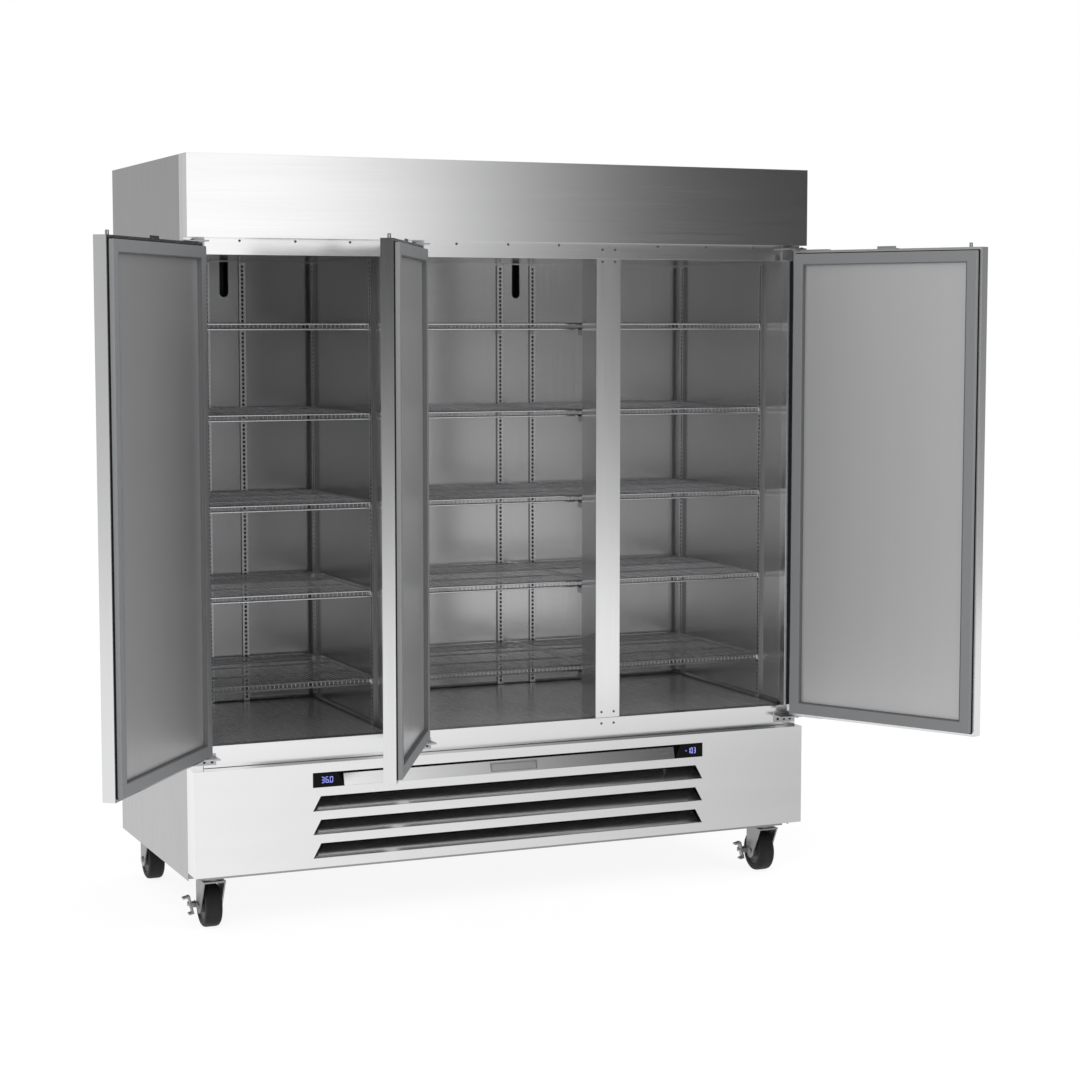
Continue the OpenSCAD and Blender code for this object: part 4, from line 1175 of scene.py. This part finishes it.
        border = np.concatenate([np.arange(4), np.arange(7, n, 4), np.arange(n - 2, n - 5, -1),
                                 np.arange(n - 8, 0, -4)])
        after = np.roll(border, -1)
        rim = np.stack([border, after, after + n, border + n], axis=-1)
        # Faces, then the sides in painted shade, then the slots' walls and floors in painted shadow.
        faces = (np.vstack([cells[~slotted], cells + n]), rim, np.vstack([walls, floors]))
        shape.add(np.vstack(layers), np.vstack(faces), np.repeat(np.arange(3), [len(f) for f in faces]))


@dataclass
class Door(Assembly):
    """One door: skin, pan, gasket, hardware and lock, standing open about its hinge."""

    side: Side
    width: float = 629 * MM
    hinge_edge: float = 13 * MM
    hinge_face: float = 10 * MM
    depth: float = 34 * MM
    rim: float = 6 * MM
    arm: float = 7.4 * MM
    fold: float = 1.6 * MM
    fitting_fold: float = 0.5 * MM
    plug_fold: float = 0.6 * MM
    bolt_fold: float = 1.0 * MM
    corner: float = 2.5 * MM
    pan_corner: float = 4 * MM
    pan_angle: float = 25.0
    gasket_angle: float = 30.0
    pin_radius: float = 7 * MM
    pin_height: float = 3 * MM
    plate_sheet: float = 4 * MM
    plate_bolts: tuple[float, ...] = (4 * MM, 24 * MM, 46 * MM)
    plate_bolt_lift: float = 9 * MM
    plate_bolt_radius: float = 4.5 * MM
    plate_bolt_height: float = 2.2 * MM

    # Outlines carried round the door: in from its edge, and out from its rear face.
    GASKET = np.array([(10, -3), (10, 7.4), (11.1, 8.5), (40, 8.5), (41.2, 7.6), (41.2, 0), (13.8, 0),
                       (13.8, -3)]) * MM
    # The dark sleeve inside the gasket: painted shade on the gasket's inner wall.
    SHADE_SLEEVE = np.array([(41.2, -5.3), (41.2, 7.8), (44, 7.2), (44, -5.3)]) * MM
    PAN = np.array([(14, 0), (14, 6), (39, 6), (41.4, 5.4), (43.6, 0.9), (45.5, 0.6)]) * MM
    # The black strip in the gap between skin and gasket: painted shadow.
    GAP_SHADOW = np.array([(7, 0.05), (7, 0.5), (9.8, 0.5), (9.8, 3), (13.7, 3), (13.7, 0.05)]) * MM

    def __post_init__(self) -> None:
        """Read the hinge from the frame."""
        joint = next(j for j in frame["joints"] if j["name"] == f"door_{self.side.value}_hinge")
        self.body = f"door_{self.side.value}"
        self.hinge = np.array(joint["pos_m"])
        self.hand = float(np.sign(joint["axis"][2]))
        self.angle = radians(joint["range_deg"][1])
        low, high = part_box(self.node("door_skin"))
        self.z0, self.z1 = low.z, high.z

    def node(self, kind: str) -> str:
        """Name of this door's node or piece of a kind."""
        return f"{kind}_{self.side.value}"

    def place(self, local: Points) -> Points:
        """Turn points of the closed door's frame about the hinge to where they stand.

        The frame's x runs from the hinge axis to the free edge and its y from the hinge axis into the door.

        Args:
            local: Points in the door's frame, z above the floor.

        Returns:
            The same points in the part's frame.
        """
        x, y, z = np.moveaxis(local, -1, 0)
        across = x * cos(self.angle) + y * sin(self.angle)
        along = y * cos(self.angle) - x * sin(self.angle)
        return np.stack([self.hinge[0] + self.hand * across, self.hinge[1] + along, z], axis=-1)

    def rings(self, profile: Points, lift: float, corner: float) -> Points:
        """Rounded rectangles round this door, one for each profile point.

        Args:
            profile: Pairs of inset from the door's edge and height above its rear face.
            lift: Height added to all of them.
            corner: Corner radius of the rings.

        Returns:
            Array of rings, points and coordinates, in the part's frame.
        """
        half = (self.width / 2, (self.z1 - self.z0) / 2)
        rear = self.depth - self.hinge_face + lift
        inset, height = profile.T
        local = rectangle_rings(half, inset, rear + height, np.full(len(profile), corner))
        return self.place(local + [self.width / 2 - self.hinge_edge, 0, (self.z0 + self.z1) / 2])

    def build(self) -> None:
        """Make the gasket, its painted-shade sleeve and painted-shadow strip, and the pan, and dress the
        rest.
        """
        gasket = Shape().band(self.rings(self.GASKET, self.rim, self.corner))
        self.put(self.node("seal"), gasket, "gasket_vinyl", "gasket_grey", self.body,
                 self.node("door_gasket"), self.gasket_angle)
        # The dark sleeve is painted shade on the gasket's inner wall.
        sleeve = Shape().band(self.rings(self.SHADE_SLEEVE, self.rim, self.corner))
        self.put(self.node("sleeve"), sleeve, "dark_vinyl", "gasket_grey", self.body)
        # The black strip of painted shadow in the gap between skin and gasket.
        strip = Shape().band(self.rings(self.GAP_SHADOW, 0.0, self.corner))
        self.put(self.node("breaker_strip"), strip, "black_vinyl", "gasket_grey", self.body)
        pan = Shape().tube(self.rings(self.PAN, 0.0, self.pan_corner))
        self.put(self.node("pan"), pan, "pan_steel", "liner_stainless", self.body,
                 self.node("door_panel"), self.pan_angle)
        skin = softened(self.node("door_skin"), self.fold, 3, True)
        self.finishes.dress(skin, "door_steel", "brushed_stainless")
        self.pin_heads()
        self.soften(self.node("door_hardware"), self.fitting_fold, "fitting_steel", "hardware_steel")
        self.soften(self.node("lock_plug"), self.plug_fold, "fitting_steel", "hardware_steel")
        self.soften(self.node("lock_bolt"), self.bolt_fold, "fitting_steel", "hardware_steel", 3)
        self.keep(self.node("door_core"), "rigid_foam")

    def pin_heads(self) -> None:
        """Set the pins' dark heads and the lower plate's bolts on the hinge brackets."""
        x, y = self.hinge[:2]
        low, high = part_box("hinge_brackets")
        shape = Shape()
        for z, way in ((self.z1 + self.arm, 1.0), (self.z0 - self.arm, -1.0)):
            shape.add(*studs(np.array([(x, y, z)]), Axis.Z, way, self.pin_radius, self.pin_height))
        face, lift = high.y - self.plate_sheet, low.z + self.plate_bolt_lift
        bolts = np.array([(x + self.hand * along, face, lift) for along in self.plate_bolts])
        shape.add(*studs(bolts, Axis.Y, -1.0, self.plate_bolt_radius, self.plate_bolt_height))
        self.put(self.node("pin_heads"), shape, "black_enamel", "hardware_steel")


@dataclass
class Caster(Assembly):
    """One swivel caster: fork, tyre, hub and, at the front, the brake lever."""

    row: Row
    side: Side
    sides: int = 72
    fold: float = 0.8 * MM

    # Left halves of the outlines: along the axle, and out from it.
    TYRE = np.array([(-20, 38.5), (-23.2, 40), (-24, 43), (-24, 51), (-22.9, 55.5), (-20, 59.2), (-15, 60.8),
                     (-10, 61)]) * MM
    HUB = np.array([(-27.4, 5.3), (-27.4, 15.5), (-26, 17.5), (-21, 19), (-19.5, 22), (-19.5, 35.5),
                    (-21.5, 38), (-21.5, 39.2)]) * MM

    def build(self) -> None:
        """Make the wheel and dress the metal."""
        name = f"{self.row.value}_{self.side.value}"
        node = f"caster_wheel_{name}"
        body = f"wheel_{name}"
        self.put(f"tyre_{name}", self.turned(self.TYRE, node), "tyre_rubber", "black_rubber", body, node)
        self.put(f"hub_{name}", self.turned(self.HUB, node), "hub_plastic", "black_rubber", body)
        self.soften(f"caster_fork_{name}", self.fold, "zinc_plate", "zinc_steel")
        if self.row is Row.FRONT:
            self.soften(f"brake_lever_{self.side.value}", self.fold, "zinc_plate", "zinc_steel")

    def turned(self, half: Points, node: str) -> Shape:
        """Turn an outline, made of one half and its mirror image, about the wheel's axle.

        Args:
            half: The outline's left half.
            node: The plain wheel.

        Returns:
            The closed ring.
        """
        profile = np.vstack([half, half[::-1] * (-1, 1)])
        points = turned_points(profile, Axis.X, self.sides) + middle(node)
        return Shape().band(points.reshape(len(profile), self.sides, 3))


@dataclass
class Machinery(Assembly):
    """What works behind the lower panel and above the ceiling, and the plain metal that carries the rest."""

    bracket_fold: float = 0.6 * MM

    FINISH_OF = {"compressors": "black_enamel", "condenser_coils": "fin_aluminium",
                 "evaporator_coils": "fin_aluminium", "fan_motors": "zinc_plate",
                 "condenser_fan_left": "fan_plastic", "condenser_fan_right": "fan_plastic",
                 "evaporator_fan_left": "fan_plastic", "evaporator_fan_right": "fan_plastic",
                 "caster_plates": "zinc_plate"}

    def dress(self) -> None:
        """Give each piece its finish."""
        for node, finish in self.FINISH_OF.items():
            self.keep(node, finish)
        # The brackets take the darker copy of the fitting steel: painted shade.
        self.soften("hinge_brackets", self.bracket_fold, "bracket_steel", "hardware_steel")


# Studio


@dataclass
class Studio:
    """Pale floor, soft light, the grey walls that the steel mirrors, and the camera.

    Directions are degrees round the cabinet from straight in front of it, to the right. Each table gives a
    brightness, or a share of one, by direction, height or place.
    """

    camera_at: Triple = (-2.59954, -6.40263, 1.69302)
    camera_pitch: float = 5.235
    camera_yaw: float = 23.488
    lens: float = 79.12
    sensor: float = 36.0
    floor_half: float = 120.0
    floor_colour: Colour = (0.9, 0.9, 0.9)
    floor_roughness: float = 0.9
    floor_glow: float = 1.1
    glow_share: float = 0.8
    world_light: float = 0.7
    wall_radius: float = 9.0
    wall_height: float = 7.0
    wall_curve: float = 0.3
    wall_steps: tuple[int, int] = (241, 91)
    sheen_lift: float = 3 * MM
    sheen_edge: float = 1.05
    sheen_steps: tuple[int, int] = (80, 60)

    # The wall by direction, and the lit foot's share in it by height.
    WALLS = np.array([(-180, 0.62), (-166, 0.62), (-150, 0.6), (-120, 0.5), (-98, 0.28), (-88, 0.42),
                      (-75, 0.62), (-62, 0.62), (-50, 0.35), (-40, 0.08), (-30, 0.07), (-20, 0.4),
                      (-10, 1.1), (12, 1.25), (15, 1.15), (17, 0.98), (19, 0.79), (21.5, 0.54), (25, 0.29),
                      (27.5, 0.14), (30, 0.08), (34, 0.04), (60, 0.04), (80, 0.25), (120, 0.55), (180, 0.62)])
    FOOT = np.array([(0, 0.85), (0.4, 0.52), (0.8, 0.3), (1.2, 0.17), (1.6, 0.07), (2.0, 0)])

    # The foot by the angle from its brightest direction, the ceiling by direction and its share by height.
    FOOT_FROM = -20.0
    FOOT_TONE = np.array([(45, 1.0), (65, 0.62)])
    CEILING = np.array([(80, 0.08), (120, 0.4)])
    CEILING_SHARE = np.array([(3.0, 0), (5.0, 1)])

    # The floor by its place in the panel's mirror image, and its fade at the far edge and the sides.
    SHEEN = np.array([(-0.9, 1.02), (0.98, 0.6)])
    SHEEN_Y = np.array([(-3.4, 0), (-2.9, 1), (-0.3, 1)])
    SHEEN_X = np.array([(-1.2, 0), (-0.8, 1), (3.2, 1), (4.0, 0)])

    # Name, place, rotation in degrees, width and watts of each lamp.
    LAMPS = (("key", (-3.5, -5.5, 4.5), (60, 0, -30), 3.5, 160.0),
             ("fill", (4.0, -4.5, 3.5), (65, 0, 40), 3.0, 75.0))

    def build(self) -> None:
        """Make the floor, the walls, the world, the lamps and the camera."""
        self.floor()
        self.walls()
        self.floor_sheen()
        self.world()
        for lamp in self.LAMPS:
            self.lamp(*lamp)
        self.camera()

    def floor(self) -> None:
        """A white floor that looks lit for the camera and for reflections, and keeps a soft shadow."""
        h = self.floor_half
        mesh = bpy.data.meshes.new("floor")
        mesh.from_pydata([(-h, -h, 0), (h, -h, 0), (h, h, 0), (-h, h, 0)], [], [(0, 1, 2, 3)])
        floor = bpy.data.objects.new("floor", mesh)
        bpy.context.scene.collection.objects.link(floor)
        wiring = Wiring("floor_paint")
        wiring.shade(Base_Color=(*self.floor_colour, 1.0), Roughness=self.floor_roughness)
        wiring.shade(Specular_IOR_Level=0.0)
        glow = wiring.node("ShaderNodeEmission", Strength=self.floor_glow)
        mix = wiring.node("ShaderNodeMixShader")
        share = wiring.node("ShaderNodeMath", operation="MULTIPLY")
        share.inputs[1].default_value = self.glow_share
        wiring.link(self.seen(wiring.tree), share.inputs[0])
        wiring.link(share.outputs[0], mix.inputs[0])
        wiring.link(wiring.shader.outputs[0], mix.inputs[1])
        wiring.link(glow.outputs[0], mix.inputs[2])
        wiring.link(mix.outputs[0], wiring.surface)
        mesh.materials.append(wiring.material)

    def walls(self) -> None:
        """The studio's round wall and ceiling, which only show as reflections.

        With e from the floor up to the zenith, a point stands at radius (sin a, -cos a) cos(e)^0.3 and at
        height sin(e). Light from the floor reaches the wall's foot and fades upwards, and above head height
        the wall goes over to the dim ceiling.
        """
        round_steps, up_steps = self.wall_steps
        a, e = np.meshgrid(np.linspace(-180, 180, round_steps), np.linspace(0, 90, up_steps), indexing="ij")
        out = self.wall_radius * np.maximum(np.cos(np.radians(e)), 0) ** self.wall_curve
        h = self.wall_height * np.sin(np.radians(e))
        wall = np.interp(a, *self.WALLS.T)
        foot = np.interp(np.abs(a - self.FOOT_FROM), *self.FOOT_TONE.T)
        wall += (foot - wall) * np.interp(h, *self.FOOT.T)
        ceiling = np.interp(np.abs(a), *self.CEILING.T)
        brightness = wall + (ceiling - wall) * np.interp(h, *self.CEILING_SHARE.T)
        a = np.radians(a)
        self.mirrored("walls", np.stack([out * np.sin(a), -out * np.cos(a), h], axis=-1), brightness)

    def floor_sheen(self) -> None:
        """The floor in front of the cabinet as the lower panel mirrors it, dimmer towards the right.

        A floor point (x, y) is seen in the panel at (x + t c) / (1 + t), with t its distance from the panel
        as a share of the camera's, and c the camera's own place across. The brightness falls evenly with
        that place.
        """
        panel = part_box("lower_panel")[0].y
        across, along = self.SHEEN_X[:, 0], self.SHEEN_Y[:, 0]
        xs = np.linspace(across[0], across[-1], self.sheen_steps[0])
        ys = np.linspace(along[0], along[-1], self.sheen_steps[1])
        x, y = np.meshgrid(xs, ys, indexing="ij")
        t = (panel - y) / (panel - self.camera_at[1])
        fall = np.interp((x + t * self.camera_at[0]) / (1 + t), *self.SHEEN.T)
        share = np.interp(y, *self.SHEEN_Y.T) * np.interp(x, *self.SHEEN_X.T)
        points = np.stack([x, y, np.full_like(x, self.sheen_lift)], axis=-1)
        self.mirrored("floor_sheen", points, self.sheen_edge + (fall - self.sheen_edge) * share)

    @staticmethod
    def mirrored(name: str, points: Points, brightness: Points) -> None:
        """Set up a lit surface that only shows as a reflection.

        Args:
            name: Name of the surface.
            points: Grid of its points.
            brightness: How bright it is at each of them.
        """
        mesh = bpy.data.meshes.new(name)
        mesh.from_pydata(points.reshape(-1, 3), [], grid_quads(*points.shape[:2]).tolist())
        mesh.attributes.new("brightness", "FLOAT", "POINT").data.foreach_set("value", brightness.ravel())
        surface = bpy.data.objects.new(name, mesh)
        bpy.context.scene.collection.objects.link(surface)
        surface.visible_camera = surface.visible_diffuse = surface.visible_transmission = False
        surface.visible_volume_scatter = surface.visible_shadow = False
        wiring = Wiring(name + "_paint")
        paint = wiring.node("ShaderNodeAttribute", attribute_name="brightness")
        glow = wiring.node("ShaderNodeEmission")
        wiring.link(paint.outputs["Fac"], glow.inputs["Strength"])
        wiring.link(glow.outputs[0], wiring.surface)
        wiring.material.cycles.emission_sampling = "NONE"
        mesh.materials.append(wiring.material)

    @staticmethod
    def seen(tree: bpy.types.NodeTree) -> bpy.types.NodeSocket:
        """One for camera, glossy and transmission rays, and nothing for the rest.

        Args:
            tree: Where the nodes go.

        Returns:
            The socket.
        """
        path = tree.nodes.new("ShaderNodeLightPath")
        result = path.outputs["Is Camera Ray"]
        for ray in ("Is Glossy Ray", "Is Transmission Ray"):
            either = tree.nodes.new("ShaderNodeMath")
            either.operation = "MAXIMUM"
            tree.links.new(result, either.inputs[0])
            tree.links.new(path.outputs[ray], either.inputs[1])
            result = either.outputs[0]
        return result

    def world(self) -> None:
        """A white surround, dimmer as a lamp than it looks."""
        world = bpy.data.worlds.new("surround")
        bpy.context.scene.world = world
        world.use_nodes = True
        tree = world.node_tree
        back = tree.nodes["Background"]
        back.inputs["Color"].default_value = (1, 1, 1, 1)
        level = tree.nodes.new("ShaderNodeMapRange")
        level.inputs["To Min"].default_value = self.world_light
        level.inputs["To Max"].default_value = 1.0
        tree.links.new(self.seen(tree), level.inputs["Value"])
        tree.links.new(level.outputs["Result"], back.inputs["Strength"])

    @staticmethod
    def lamp(name: str, at: Triple, turn: Triple, width: float, power: float) -> None:
        """A square soft lamp, not mirrored in the steel.

        Args:
            name: Name of the lamp.
            at: Its place.
            turn: Its rotation in degrees.
            width: Side of the square.
            power: Watts.
        """
        light = bpy.data.lights.new(name, "AREA")
        light.size = width
        light.energy = power
        lamp = bpy.data.objects.new(name, light)
        lamp.location = at
        lamp.rotation_euler = np.radians(turn)
        lamp.visible_glossy = False
        bpy.context.scene.collection.objects.link(lamp)

    def camera(self) -> None:
        """The camera at the photograph's place and angle."""
        data = bpy.data.cameras.new("camera")
        data.lens = self.lens
        data.sensor_width = self.sensor
        camera = bpy.data.objects.new("camera", data)
        camera.location = self.camera_at
        camera.rotation_euler = (radians(90 - self.camera_pitch), 0, radians(-self.camera_yaw))
        bpy.context.scene.collection.objects.link(camera)
        bpy.context.scene.camera = camera


def main() -> None:
    """Build every sub-assembly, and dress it."""
    logging.basicConfig(level=logging.INFO, format="%(name)s: %(message)s")
    bpy.context.scene.view_settings.view_transform = "Standard"
    finishes = Finishes()
    for group in (Cabinet(finishes), LowerPanel(finishes)):
        group.dress()
        group.build()
    Storage(finishes).build()
    for side in Side:
        Door(finishes, side).build()
    for row in Row:
        for side in (Side.LEFT, Side.RIGHT):
            Caster(finishes, row, side).build()
    Machinery(finishes).dress()
    Studio().build()


if __name__ == "__main__":
    main()
